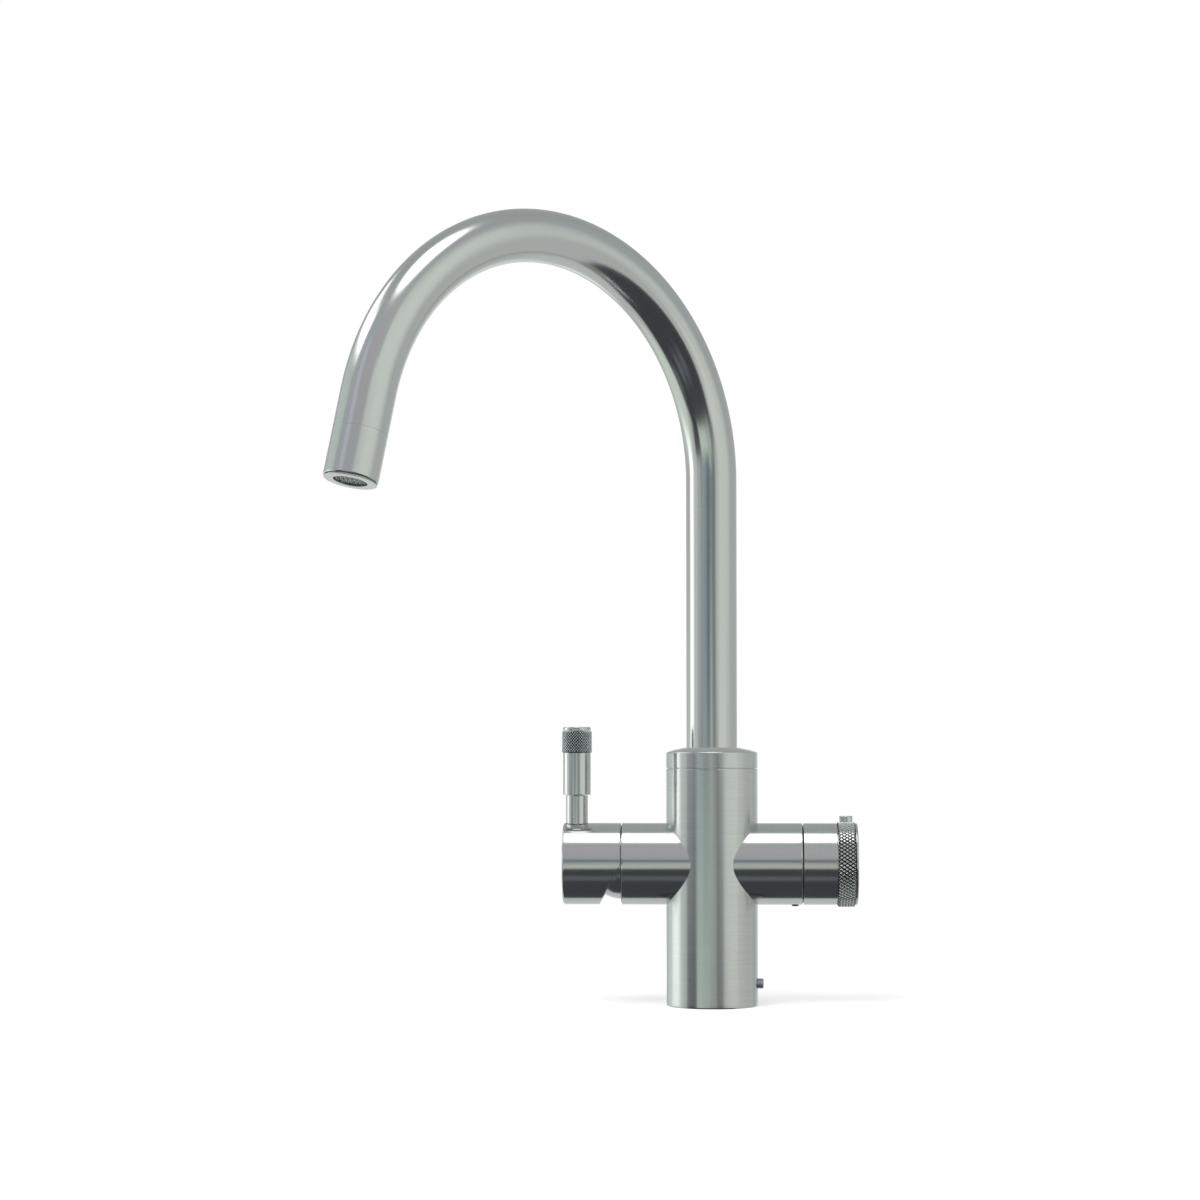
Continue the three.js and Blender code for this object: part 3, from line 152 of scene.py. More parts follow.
def outline(corners, closed=False, steps=4):
    """Line through (radius, height, fillet) corners. A fillet is an arc that touches both
    sides: centre on the corner's bisector at fillet / sin(half), turned from side to side.
    On a long side a point close to the arc keeps the arc's shading off that side."""
    rows = [tuple(c) + (0.0,) * (3 - len(c)) for c in corners]
    line = []
    for i, (radius, height, fillet) in enumerate(rows):
        corner = np.array([radius, height])
        if fillet == 0 or (not closed and i in (0, len(rows) - 1)):
            line.append(corner)
            continue
        sides = [np.array(rows[k % len(rows)][:2]) - corner for k in (i - 1, i + 1)]
        lengths = [np.linalg.norm(side) for side in sides]
        before, after = [side / length for side, length in zip(sides, lengths)]
        half = math.acos(np.clip(before @ after, -1, 1)) / 2
        bisector = (before + after) / np.linalg.norm(before + after)
        centre = corner + bisector * fillet / math.sin(half)
        first = corner + before * fillet / math.tan(half) - centre
        last = corner + after * fillet / math.tan(half) - centre
        sweep = math.pi - 2 * half
        t = np.linspace(0, 1, steps + 1)[:, None]
        arc = centre + (np.sin((1 - t) * sweep) * first + np.sin(t * sweep) * last
                        ) / math.sin(sweep)
        if lengths[0] > LONG_SIDE:
            line.append(arc[0] + before * GUARD)
        line.extend(arc)
        if lengths[1] > LONG_SIDE:
            line.append(arc[-1] + after * GUARD)
    if closed:
        line.append(line[0])
    return np.array(line)


def travelled(line):
    """Way along a line of points, from 0 at its first point."""
    steps = np.linalg.norm(np.diff(np.asarray(line, float), axis=0), axis=1)
    return np.concatenate([[0.0], np.cumsum(steps)])


def six_sided(angle):
    """Radius of a hexagon with flats at 0, 60, ... degrees, for an apothem of 1."""
    sixth = TURN / 6
    return 1 / np.cos((angle + sixth / 2) % sixth - sixth / 2)


def wave(phase):
    """Triangle wave: 0 at whole numbers and 1 half way between them."""
    return 1 - np.abs(2 * (phase % 1) - 1)


def revolved(radius, height, place=UPRIGHT, angle=None, along=None):
    """Patch (r cos a, r sin a, h) with r and h as rows by columns, or one number a row."""
    if angle is None:
        angle = np.linspace(0, TURN, 97)
    radius, height = np.atleast_2d(radius), np.atleast_2d(height)
    if radius.shape[0] == 1:
        radius = radius.T
    if height.shape[0] == 1:
        height = height.T
    radius, height, turn = np.broadcast_arrays(radius, height, angle[None, :])
    if along is None:
        along = travelled(np.stack([radius[:, 0], height[:, 0]], -1))[:, None]
    points = np.stack([radius * np.cos(turn), radius * np.sin(turn), height], -1)
    uv = np.stack([turn / TURN, np.broadcast_to(along, turn.shape)], -1)
    return put(points, place), uv


def turned(profile, place=UPRIGHT, count=96, six=()):
    """Patch of a (radius, height) profile turned about the place's Z axis. The rows whose
    numbers are in six follow a hexagon instead of a circle."""
    profile = np.asarray(profile, float)
    angle = np.linspace(0, TURN, count + 1)
    radius = np.repeat(profile[:, :1], count + 1, axis=1)
    radius[list(six)] *= six_sided(angle)
    return revolved(radius, profile[:, 1:2], place, angle)


def knurl_rows(peak, depth, low, high, around, rows, fade):
    """Radius and height of a diamond knurl: two crossing families of V grooves. The relief
    is the smaller of two triangle waves that run with and against the turn, cut off level
    from KNURL_FLAT up, and it sinks to the bottom of the grooves over a short way at either
    end."""
    angle = np.linspace(0, TURN, KNURL_STEPS * around + 1)
    height = np.linspace(low, high, KNURL_STEPS * rows + 1)[:, None]
    level = (height - low) / (high - low) * rows
    count = angle[None, :] / TURN * around
    relief = np.minimum(wave(count + level), wave(count - level))
    ends = np.clip(np.minimum(height - low, high - height) / fade, 0, 1)
    return peak - depth + depth * np.minimum(relief / KNURL_FLAT, 1) * ends, height, angle


def groove_faces(rows, columns):
    """True for the faces of a knurl that a groove crosses from the second to the fourth
    corner. Every other face can be split from its first to its third corner."""
    row, column = np.indices((rows - 1, columns - 1))
    return (row + column + 1) % KNURL_STEPS == 0


# ---------------------------------------------------------------- meshes

def piece(name, patches, finishes, body, slot, *nodes, sharp=SHARP_ANGLE, split=False):
    """Welds patches (points, uv[, finish number]) into one closed piece that rides on a body
    and stands for its CAD nodes. A split piece has its faces cut in two along its grooves."""
    mesh = bpy.data.meshes.new(name)
    corners, faces, uvs, numbers = [], [], [], []
    start = 0
    for points, uv, *number in patches:
        rows, columns = points.shape[:2]
        index = start + np.arange(rows * columns).reshape(rows, columns)
        quads = np.stack([index[:-1, :-1], index[:-1, 1:], index[1:, 1:], index[1:, :-1]], -1)
        if split:
            crossed = groove_faces(rows, columns)
            quads[crossed] = np.roll(quads[crossed], 1, axis=-1)
        faces.append(quads.reshape(-1, 4))
        corners.append(points.reshape(-1, 3))
        uvs.append(uv.reshape(-1, 2))
        numbers.append(np.full(len(faces[-1]), number[0] if number else 0))
        start += rows * columns
    corners = np.concatenate(corners) * MILLIMETRE
    faces, uvs = np.concatenate(faces), np.concatenate(uvs)
    mesh.from_pydata(corners, [], faces)
    layer = mesh.uv_layers.new(name=BRUSHING)
    layer.data.foreach_set("uv", uvs[faces.reshape(-1)].astype(np.float32).ravel())
    mesh.polygons.foreach_set("material_index", np.concatenate(numbers).astype(np.int32))
    weld(mesh, split)
    for finish in finishes:
        mesh.materials.append(finish)
    smooth(mesh, sharp)
    made = bpy.data.objects.new(name, mesh)
    bpy.context.scene.collection.objects.link(made)
    if body:
        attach(made, body)
        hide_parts(*nodes)
    return made


def weld(mesh, split=False):
    """Closes seams and poles, drops empty faces and turns the faces outwards."""
    work = bmesh.new()
    work.from_mesh(mesh)
    if split:
        bmesh.ops.triangulate(work, faces=work.faces, quad_method="FIXED")
    bmesh.ops.remove_doubles(work, verts=work.verts, dist=WELD_DISTANCE)
    bmesh.ops.dissolve_degenerate(work, edges=work.edges, dist=WELD_DISTANCE / 4)
    bmesh.ops.recalc_face_normals(work, faces=work.faces)
    work.to_mesh(mesh)
    work.free()


def smooth(mesh, sharp):
    mesh.shade_smooth()
    mesh.set_sharp_from_angle(angle=sharp)


def carve(made, patches, operation="DIFFERENCE", sharp=SHARP_ANGLE):
    """Cuts closed patches out of a piece, or joins them to it, and keeps the result."""
    tool = piece(made.name + "_tool", patches, list(made.data.materials), None, None)
    change = made.modifiers.new("carve", "BOOLEAN")
    change.operation, change.solver, change.object = operation, "EXACT", tool
    evaluated = made.evaluated_get(bpy.context.evaluated_depsgraph_get())
    result = bpy.data.meshes.new_from_object(evaluated)
    made.modifiers.remove(change)
    old, made.data = made.data, result
    result.name = made.name
    bpy.data.meshes.remove(old)
    bpy.data.meshes.remove(tool.data)
    smooth(result, sharp)
    if len(result.polygons) == 0:
        raise RuntimeError(f"carving {made.name} left nothing")


def rod(radius, low, high, place=UPRIGHT, count=48):
    return turned([(0, low), (radius, low), (radius, high), (0, high)], place, count)


# ---------------------------------------------------------------- finishes

def rgb(red, green, blue):
    """Linear colour of 8-bit display values."""
    parts = np.array([red, green, blue]) / 255
    return tuple(np.where(parts > 0.04045, ((parts + 0.055) / 1.055) ** 2.4, parts / 12.92))


def node(tree, kind, inputs=None, **settings):
    """New node. Inputs, by name or number, are set, or linked if they are sockets."""
    made = tree.nodes.new(kind)
    for key, value in settings.items():
        setattr(made, key, value)
    for key, value in (inputs or {}).items():
        if isinstance(value, bpy.types.NodeSocket):
            tree.links.new(value, made.inputs[key])
        else:
            made.inputs[key].default_value = value
    return made


def maths(tree, operation, *values, clamp=False):
    inputs = dict(enumerate(values))
    return node(tree, "ShaderNodeMath", inputs, operation=operation, use_clamp=clamp).outputs[0]


def vector(tree, operation, *values):
    inputs = dict(enumerate(values))
    return node(tree, "ShaderNodeVectorMath", inputs, operation=operation).outputs[0]


def ranged(tree, value, low, high, to_low, to_high, curve="LINEAR"):
    return node(tree, "ShaderNodeMapRange", {
        "Value": value, "From Min": low, "From Max": high, "To Min": to_low, "To Max": to_high,
    }, interpolation_type=curve).outputs[0]


def noise(tree, place, scale, detail=2.0, roughness=0.5):
    return node(tree, "ShaderNodeTexNoise", {
        "Vector": place, "Scale": scale, "Detail": detail, "Roughness": roughness,
    }).outputs["Fac"]


def shades(tree, factor, colour, dark, light):
    """The colour times a grey that goes from dark to light as the factor goes from 0 to 1."""
    pair = [tuple(min(1.0, part * shade) for part in colour) + (1.0,) for shade in (dark, light)]
    mix = node(tree, "ShaderNodeMix", {"Factor": factor, 6: pair[0], 7: pair[1]},
               data_type="RGBA")
    return mix.outputs[2]


def new_finish(name):
    finish = bpy.data.materials.new(name + "_finish")
    finish.use_nodes = True
    finish.node_tree.nodes.clear()
    return finish, finish.node_tree


def finished(tree, sockets):
    shader = node(tree, "ShaderNodeBsdfPrincipled", sockets)
    node(tree, "ShaderNodeOutputMaterial", {"Surface": shader.outputs[0]})


def turning_marks(tree, width):
    """Vector whose noise is drawn out round the piece: a small circle for the turn, so that
    the marks close, and the way along the surface counted in widths of a mark."""
    uv = node(tree, "ShaderNodeUVMap", uv_map=BRUSHING).outputs[0]
    parts = node(tree, "ShaderNodeSeparateXYZ", {0: uv}).outputs
    angle = maths(tree, "MULTIPLY", parts[0], TURN)
    round_way = 1.6
    x = maths(tree, "MULTIPLY", maths(tree, "COSINE", angle), round_way)
    y = maths(tree, "MULTIPLY", maths(tree, "SINE", angle), round_way)
    z = maths(tree, "DIVIDE", parts[1], width)
    return node(tree, "ShaderNodeCombineXYZ", {0: x, 1: y, 2: z}).outputs[0]


def turned_steel(name, colour, roughness, anisotropy, marks, contrast, depth):
    """Steel with fine marks round the piece. Reflections spread across the marks."""
    finish, tree = new_finish(name)
    lines = turning_marks(tree, marks)
    fine = noise(tree, lines, 1.0, 2.0, 0.6)
    broad = noise(tree, vector(tree, "MULTIPLY", lines, (0.6, 0.6, 0.3)), 1.0, 1.0)
    place = node(tree, "ShaderNodeTexCoord").outputs["Object"]
    cloud = noise(tree, place, 45.0, 3.0, 0.55)
    grain = maths(tree, "ADD", maths(tree, "MULTIPLY", fine, 0.6),
                  maths(tree, "MULTIPLY", broad, 0.4))
    level = ranged(tree, grain, 0.3, 0.7, 0.0, 1.0)
    rough = maths(tree, "ADD", ranged(tree, level, 0, 1, roughness * 0.93, roughness * 1.07),
                  ranged(tree, cloud, 0.3, 0.7, -0.012, 0.012))
    bump = node(tree, "ShaderNodeBump", {
        "Strength": depth, "Distance": 0.00004, "Height": fine})
    tangent = node(tree, "ShaderNodeTangent", direction_type="UV_MAP", uv_map=BRUSHING)
    finished(tree, {
        "Base Color": shades(tree, level, colour, 1 - contrast, 1 + contrast),
        "Metallic": 1.0, "Roughness": rough, "Anisotropic": anisotropy,
        "Anisotropic Rotation": 0.25, "Tangent": tangent.outputs[0],
        "Normal": bump.outputs[0]})
    return finish


def knurled(name, colour, pit, roughness, centre, mask, low, high):
    """Knurled steel: painted shade makes it dark in the grooves and a painted highlight makes
    it bright on the tips, by height in the relief. Height in the relief is the distance from
    the axis, which runs through the centre where mask is 0."""
    finish, tree = new_finish(name)
    place = node(tree, "ShaderNodeTexCoord").outputs["Object"]
    offset = vector(tree, "MULTIPLY", vector(tree, "SUBTRACT", place, centre), mask)
    reach = node(tree, "ShaderNodeVectorMath", {0: offset}, operation="LENGTH").outputs["Value"]
    level = ranged(tree, reach, low * MILLIMETRE, high * MILLIMETRE, 0.0, 1.0)
    speckle = noise(tree, place, 2600.0, 2.0)
    # painted shade in the grooves and painted highlight on the tips, by height, with a random
    # speckle
    relief_shade_and_speckle = maths(tree, "ADD", level, ranged(tree, speckle, 0.3, 0.7, -0.12, 0.12), clamp=True)
    # from the pit colour, a painted shade, to the tip colour, a painted highlight
    base = node(tree, "ShaderNodeMix", {"Factor": relief_shade_and_speckle, 6: (*pit, 1.0), 7: (*colour, 1.0)},
                data_type="RGBA").outputs[2]
    finished(tree, {
        "Base Color": base, "Metallic": 1.0,
        "Roughness": ranged(tree, relief_shade_and_speckle, 0, 1, roughness + 0.16, roughness)})
    return finish


def grained(name, colour, metallic, roughness, grain, contrast, depth, coat=0.0):
    """Plain metal, plastic, rubber or ceramic: a fine grain and a slow cloud in its colour
    and roughness, and the grain as a shallow bump."""
    finish, tree = new_finish(name)
    place = node(tree, "ShaderNodeTexCoord").outputs["Object"]
    fine = noise(tree, place, 1 / (grain * MILLIMETRE), 3.0, 0.6)
    cloud = noise(tree, place, 60.0, 2.0)
    both = maths(tree, "ADD", maths(tree, "MULTIPLY", fine, 0.5),
                 maths(tree, "MULTIPLY", cloud, 0.5))
    level = ranged(tree, both, 0.32, 0.68, 0.0, 1.0)
    bump = node(tree, "ShaderNodeBump", {
        "Strength": depth, "Distance": 0.0001, "Height": fine})
    finished(tree, {
        "Base Color": shades(tree, level, colour, 1 - contrast, 1 + contrast),
        "Metallic": metallic,
        "Roughness": ranged(tree, level, 0, 1, roughness * 0.9, min(1.0, roughness * 1.1)),
        "Coat Weight": coat, "Normal": bump.outputs[0]})
    return finish


def make_finishes():
    """Every finish of the tap by the name of its material slot."""
    look = bpy.context.scene.tap_finishes
    steel, dark = tuple(look.steel_colour), tuple(look.dark_colour)
    axis = ARM_AXIS * MILLIMETRE
    # turned: colour, roughness, anisotropy, width of a mark, contrast, depth of the bump
    # knurled: colours of tips and pits (painted highlight and painted shade), roughness, a point on
    # the axis, mask, two levels
    # grained: colour, metallic, roughness, size of a grain, contrast, depth of the bump, coat
    return {
        "brushed_body": turned_steel("brushed_body", steel, look.body_roughness, 0.7,
                                     0.24, 0.05, 0.1),
        "satin_steel": turned_steel("satin_steel", steel, look.satin_roughness, 0.3,
                                    0.1, 0.02, 0.05),
        # the bright tip colours are painted highlight and the near-black pit colours are painted
        # shade
        "knurled_steel": knurled("knurled_steel", rgb(228, 230, 229), rgb(8, 9, 10), 0.18,
                                 (0, 0, axis), (0, 1, 1), 20.56, 20.74),
        "knurled_grip": knurled("knurled_grip", rgb(216, 220, 222), rgb(20, 21, 23), 0.42,
                                (LEVER_PLACE * MILLIMETRE, 0, 0), (1, 1, 0), 7.1, 7.22),
        "plain_steel": grained("plain_steel", rgb(196, 198, 198), 1.0, 0.3, 0.4, 0.06, 0.1),
        "screen_steel": grained("screen_steel", rgb(176, 179, 181), 1.0, 0.3, 0.3, 0.08, 0.1),
        "dark_steel": turned_steel("dark_steel", dark, 0.5, 0.4, 0.12, 0.08, 0.15),
        "black_oxide": grained("black_oxide", rgb(46, 48, 51), 0.85, 0.42, 0.25, 0.18, 0.25),
        "brass": grained("brass", rgb(206, 170, 104), 1.0, 0.3, 0.35, 0.08, 0.15),
        "black_rubber": grained("black_rubber", rgb(30, 31, 32), 0.0, 0.72, 0.2, 0.15, 0.4),
        "grey_plastic": grained("grey_plastic", rgb(141, 145, 148), 0.0, 0.45, 0.3, 0.04, 0.2),
        "white_plastic": grained("white_plastic", rgb(216, 217, 214), 0.0, 0.4, 0.3, 0.03, 0.2),
        "ceramic": grained("ceramic", rgb(228, 224, 214), 0.0, 0.16, 0.15, 0.03, 0.05, 0.4),
        "inner_tube": grained("inner_tube", rgb(201, 207, 208), 0.0, 0.35, 0.5, 0.04, 0.1),
    }


def finish_of(slot):
    return bpy.data.materials[slot + "_finish"]


# ---------------------------------------------------------------- body

def barrel_columns():
    """Angles of the barrel's columns and the arm's rise above each. Across an arm the
    columns stand where sin(angle) = arm radius * cos(f) / body radius for even steps of f,
    so that barrel and arm share every point of the line where they meet."""
    f = np.linspace(0, math.pi, 49)
    across = np.arcsin(ARM_RADIUS * np.cos(f) / BODY_RADIUS)
    rise = ARM_RADIUS * np.sin(f)
    rise[[0, -1]] = 0.0
    gap = np.linspace(across[-1], across[0] - math.pi, 25)[1:-1]
    angle = np.concatenate([across, gap, -math.pi - across[::-1], gap - math.pi,
                            [across[0] - TURN]])
    return angle, np.concatenate([rise, 0 * gap, rise, 0 * gap, [0.0]])


def barrel(profile, rows, above):
    """Half of the barrel: its wall from the arms' line to an end, then the end's profile.
    Wall heights run evenly from axis +- rise to the profile's first point."""
    angle, rise = barrel_columns()
    t = np.linspace(0, 1, rows + 1)[:-1, None]
    start = ARM_AXIS + (rise if above else -rise)[None, :]
    wall = start + (profile[0][1] - start) * t
    heights = np.concatenate([wall, np.repeat(profile[:, 1:2], len(angle), axis=1)])
    radii = np.concatenate([np.full(rows, BODY_RADIUS), profile[:, 0]])[:, None]
    step = 1 if above else -1
    ends = profile[0][1] + step * travelled(profile)
    along = np.concatenate([wall, np.repeat(ends[:, None], len(angle), axis=1)])
    return revolved(radii, heights, UPRIGHT, angle, along)


def arm(side, profile, rows=14):
    """An arm: its wall from x = sqrt(R^2 - y^2) on the barrel to the profile's first point,
    then the profile of its end and chamber, with (radius, distance from the column). The
    spigot in the groove before the turning piece has a dark finish as painted shade for
    the deep groove."""
    f = np.linspace(0, TURN, 97)
    start = np.sqrt(BODY_RADIUS ** 2 - (ARM_RADIUS * np.cos(f)) ** 2)[None, :]
    t = np.linspace(0, 1, rows + 1)[:-1, None]
    wall = start + (profile[0][1] - start) * t
    reach = np.concatenate([wall, np.repeat(profile[:, 1:2], len(f), axis=1)])
    radius = np.concatenate([np.full(rows, ARM_RADIUS), profile[:, 0]])[:, None]
    ends = profile[0][1] + travelled(profile)
    along = np.concatenate([wall, np.repeat(ends[:, None], len(f), axis=1)])
    radius, turn = np.broadcast_arrays(radius, f[None, :])
    points = np.stack([side * reach, radius * np.cos(turn), ARM_AXIS + radius * np.sin(turn)], -1)
    uv = np.stack([turn / TURN, along], -1)
    # finish 2, the dark black_oxide slot, on the spigot's rows is painted shade for the groove
    foot = rows + int(np.argmax(profile[:, 0] <= SPIGOT_RADIUS))
    mouth = rows + int(np.argmax(profile[:, 0] < SPIGOT_RADIUS - 1))
    parts = ((slice(0, foot + 1), 1), (slice(foot, mouth + 1), 2), (slice(mouth, None), 1))
    return [(points[part], uv[part], finish) for part, finish in parts]


class TAP_OT_body(bpy.types.Operator):
    """Make the body with its two arms, chambers, sockets and screw holes"""
    bl_idname = "tap.body"
    bl_label = "Body"

    def execute(self, context):
        (skirt, ledge), (seat, floor) = SKIRT_SEAT, BEARING_SEAT
        top = outline([(BODY_RADIUS, BODY_TOP - 1), (BODY_RADIUS, BODY_TOP, 0.15),
                       (skirt, BODY_TOP, 0.1), (skirt, ledge), (seat, ledge),
                       (seat, floor), (SPOUT_BORE, floor, 0.2),
                       (SPOUT_BORE, 108.9), (16.5, 108.9), (16.5, 107.2), (SPOUT_BORE, 107.2),
                       (SPOUT_BORE, SPOUT_FLOOR), (0, SPOUT_FLOOR)])
        bottom = outline([(BODY_RADIUS, 2), (BODY_RADIUS, 0.5, 0.2), (22.05, 0, 0.15),
                          (20.3, 0), (20.3, 1.5), (18.1, 1.5), (18.1, 0),
                          (SOCKET_RADIUS, 0, 0.3), (SOCKET_RADIUS, SOCKET_TOP),
                          (0, SOCKET_TOP)])
        ends = [outline([(ARM_RADIUS, ARM_END - 1), (ARM_RADIUS, ARM_END, 0.2),
                         (SPIGOT_RADIUS, ARM_END), (SPIGOT_RADIUS, SPIGOT_END, 0.1),
                         (bore, SPIGOT_END, 0.1), (bore, CHAMBER_FLOOR), (0, CHAMBER_FLOOR)])
                for bore in (MIXER_BORE, VALVE_BORE)]
        patches = [barrel(top, 12, True), barrel(bottom, 20, False),
                   *arm(-1, ends[0]), *arm(1, ends[1])]
        # the black_oxide finish here is painted shade on the spigots in the arms' grooves
        made = piece("body", patches,
                     [finish_of(name) for name in ("brushed_body", "satin_steel", "black_oxide")],
                     "root", "brushed_body", "body_casting")
        screw_way = placed((0, 0, LOCK_SCREW_HEIGHT), (1, 0, 0), (0, 0, 1))
        holes = [rod(2.75, 10, 30, screw_way), rod(2.1, 40, ARM_AXIS, placed((GRUB_PLACE, 0, 0)))]
        for angle in np.arange(3) * TURN / 3:
            port = placed((8.5 * math.cos(angle), 8.5 * math.sin(angle), 0))
            holes.append(rod(4.2, 19, 34, port))
        carve(made, holes)
        return {"FINISHED"}


# ---------------------------------------------------------------- fixing

def socket_screw(radius, low, high, edge, socket, depth, place):
    """Headless screw: turned from a profile whose last rows sink a six-sided socket."""
    rows = [(0, low), (radius - edge, low), (radius, low + edge), (radius, high - edge),
            (radius - edge, high), (socket * 1.3, high), (socket, high - 0.12),
            (socket, high - depth), (0, high - depth)]
    return turned(rows, place, 48, six=(6, 7))


class TAP_OT_fixing(bpy.types.Operator):
    """Make the threaded shank, its washers and nut, the lock screw and the valve's grub screw"""
    bl_idname = "tap.fixing"
    bl_label = "Fixing and screws"

    def execute(self, context):
        detail = context.scene.tap_sizes
        pitch = detail.thread_pitch / MILLIMETRE
        depth = 0.6 * pitch
        self.shank(pitch, depth)
        washers = (("rubber_washer", "black_rubber", -30.0, 3.0, 0.7),
                   ("steel_washer", "plain_steel", -33.3, 2.5, 0.35))
        for name, slot, top, thick, edge in washers:
            ring = outline([(WASHER_BORE, top), (WASHER_RADIUS, top, edge),
                            (WASHER_RADIUS, top - thick, edge), (WASHER_BORE, top - thick)],
                           closed=True)
            piece(name + "_ring", [turned(ring, count=120)], [finish_of(slot)], "root", slot, name)
        self.nut(pitch, depth)
        way = placed((0, 0, LOCK_SCREW_HEIGHT), (1, 0, 0), (0, 0, 1))
        piece("lock_screw", [socket_screw(2.45, 15.3, 25.2, 0.5, 1.2, 2.4, way)],
              [finish_of("dark_steel")], "root", "dark_steel", "body_lock_screw")
        down = placed((GRUB_PLACE, 0, ARM_AXIS), (0, 0, -1))
        piece("grub_screw", [socket_screw(1.8, 14.0, 20.6, 0.35, 0.85, 1.8, down)],
              [finish_of("black_oxide")], "root", "black_oxide", "valve_grub_screw")
        return {"FINISHED"}

    def shank(self, pitch, depth):
        """Hollow shank: radius r - depth * (1 - wave(height / pitch - turns)), a helical
        groove that fades at both ends, between a chamfered foot and a head with two grooves."""
        angle = np.linspace(0, TURN, 73)
        height = np.arange(THREAD_LOW, THREAD_HIGH, pitch / 6)[:, None]
        fade = np.clip(np.minimum(height - THREAD_LOW, THREAD_HIGH - height) / pitch, 0, 1)
        groove = 1 - wave(height / pitch - angle[None, :] / TURN)
        thread = SHANK_RADIUS - depth * groove * fade
        head = [(SHANK_RADIUS, 0.3), (SHANK_HEAD, 0.3), (SHANK_HEAD, 8.15), (15, 8.15),
                (15, 13.65), (SHANK_HEAD, 13.65), (SHANK_HEAD, 16.1), (14.3, 16.1),
                (14.3, 18.9), (SHANK_HEAD, 18.9), (SHANK_HEAD, SHANK_TOP),
                (SHANK_BORE, SHANK_TOP)]
        foot = [(SHANK_BORE, SHANK_TOP), (SHANK_BORE, SHANK_FOOT), (13, SHANK_FOOT),
                (SHANK_RADIUS, THREAD_LOW)]
        foot, head = [np.repeat(np.array(rows)[:, :, None], len(angle), axis=2)
                      for rows in (foot, head)]
        radius = np.concatenate([foot[:, 0], thread, head[:, 0]])
        heights = np.concatenate([foot[:, 1], height + 0 * angle, head[:, 1]])
        piece("shank", [revolved(radius, heights, UPRIGHT, angle)], [finish_of("brass")],
              "root", "brass", "threaded_shank")

    def nut(self, pitch, depth):
        """Hexagon with both ends turned to 45 degrees: each end's circle grows to the
        hexagon over a height equal to the growth. Its bore has the shank's thread."""
        angle = np.linspace(0, TURN, 97)
        hexagon = NUT_APOTHEM * six_sided(angle)[None, :]
        circle = NUT_APOTHEM / math.cos(TURN / 12) - NUT_CHAMFER
        grown = np.maximum(hexagon - circle, 0)
        wall = np.arange(NUT_BOTTOM + MOUTH_DEPTH, NUT_TOP - MOUTH_DEPTH, pitch / 6)[::-1, None]
        thread = NUT_BORE + 0.75 * depth * (1 - wave(wall / pitch - angle[None, :] / TURN))
        mouth = np.full((1, len(angle)), NUT_MOUTH)
        radius = np.concatenate([mouth, np.minimum(hexagon, circle), hexagon, hexagon,
                                 np.minimum(hexagon, circle), mouth, thread, mouth])
        level = np.ones_like(hexagon)
        heights = np.concatenate([NUT_BOTTOM * level, NUT_BOTTOM * level, NUT_BOTTOM + grown,
                                  NUT_TOP - grown, NUT_TOP * level, NUT_TOP * level,
                                  wall * level, NUT_BOTTOM * level])
        order = np.r_[0:6, 6:6 + len(wall), len(radius) - 1]
        piece("nut", [revolved(radius[order], heights[order], UPRIGHT, angle)],
              [finish_of("brass")], "root", "brass", "shank_nut")


# ---------------------------------------------------------------- spout

def spout_line():
    """Centre line of the tube: upright, then an arc of the bend radius, then straight. At
    turn t its tangent is (sin t, cos t) along (outwards, up)."""
    turn = np.concatenate([np.zeros(8), np.linspace(0, BEND_SWEEP, 121), np.full(4, BEND_SWEEP)])
    rise = np.concatenate([np.linspace(TUBE_FOOT, BEND_START, 9)[:-1], np.full(125, BEND_START)])
    run = np.concatenate([np.zeros(129), np.linspace(0, TUBE_TAIL, 5)[1:]])
    across = BEND_RADIUS * (1 - np.cos(turn)) + run * np.sin(turn)
    height = rise + BEND_RADIUS * np.sin(turn) + run * np.cos(turn)
    return across, height, turn


def swept(radius, across, height, turn, count=96):
    """Tube of the given radii about the spout's line. A ring's point is
    line + r (cos a * (cos t, -sin t) + sin a * sideways)."""
    angle = np.linspace(0, TURN, count + 1)[None, :]
    radius, across, height, turn = [np.reshape(part, (-1, 1)) for part in
                                    np.broadcast_arrays(radius, across, height, turn)]
    out = across + radius * np.cos(angle) * np.cos(turn)
    up = height - radius * np.cos(angle) * np.sin(turn)
    side = radius * np.sin(angle) + 0 * turn
    sideways = np.array([-SPOUT_OUT[1], SPOUT_OUT[0], 0.0])
    points = (out[..., None] * SPOUT_OUT + side[..., None] * sideways
              + up[..., None] * np.array([0, 0, 1.0]))
    way = travelled(np.concatenate([across, height], axis=1))[:, None] + 0 * angle
    return points, np.stack([np.broadcast_to(angle / TURN, way.shape), way], -1)


def woven_wires(reach, pitch, wire, level):
    """Woven mesh in a circle: wires stand close one way and WEFT times as far apart the
    other way, and rise and fall by half their thickness as cos(pi * crossing), over one
    neighbour and under the next. A wire is a ring of six points carried along that wave."""
    patches = []
    ring = np.linspace(0, TURN, 7)[None, :]
    for way, (gap, crossed) in enumerate(((pitch * WEFT, pitch), (pitch, pitch * WEFT))):
        count = int((reach - wire / 2) // gap)
        for i in range(-count, count + 1):
            offset = i * gap
            half = math.sqrt(reach ** 2 - offset ** 2)
            s = np.linspace(-half, half, 4 * max(2, int(2 * half / crossed)) + 1)[:, None]
            lift = wire * 0.5 * np.cos(math.pi * (s / crossed + i + way))
            thick = np.full(len(s), wire / 2)[:, None]
            thick[[0, -1]] = 0.0
            along, side = s + 0 * ring, offset + thick * np.cos(ring)
            height = level + lift + thick * np.sin(ring)
            axes = [along, side] if way == 0 else [side, along]
            points = put(np.stack([*axes, height], -1), SCREEN)
            patches.append((points, np.stack([ring / TURN + 0 * s, along], -1)))
    return patches


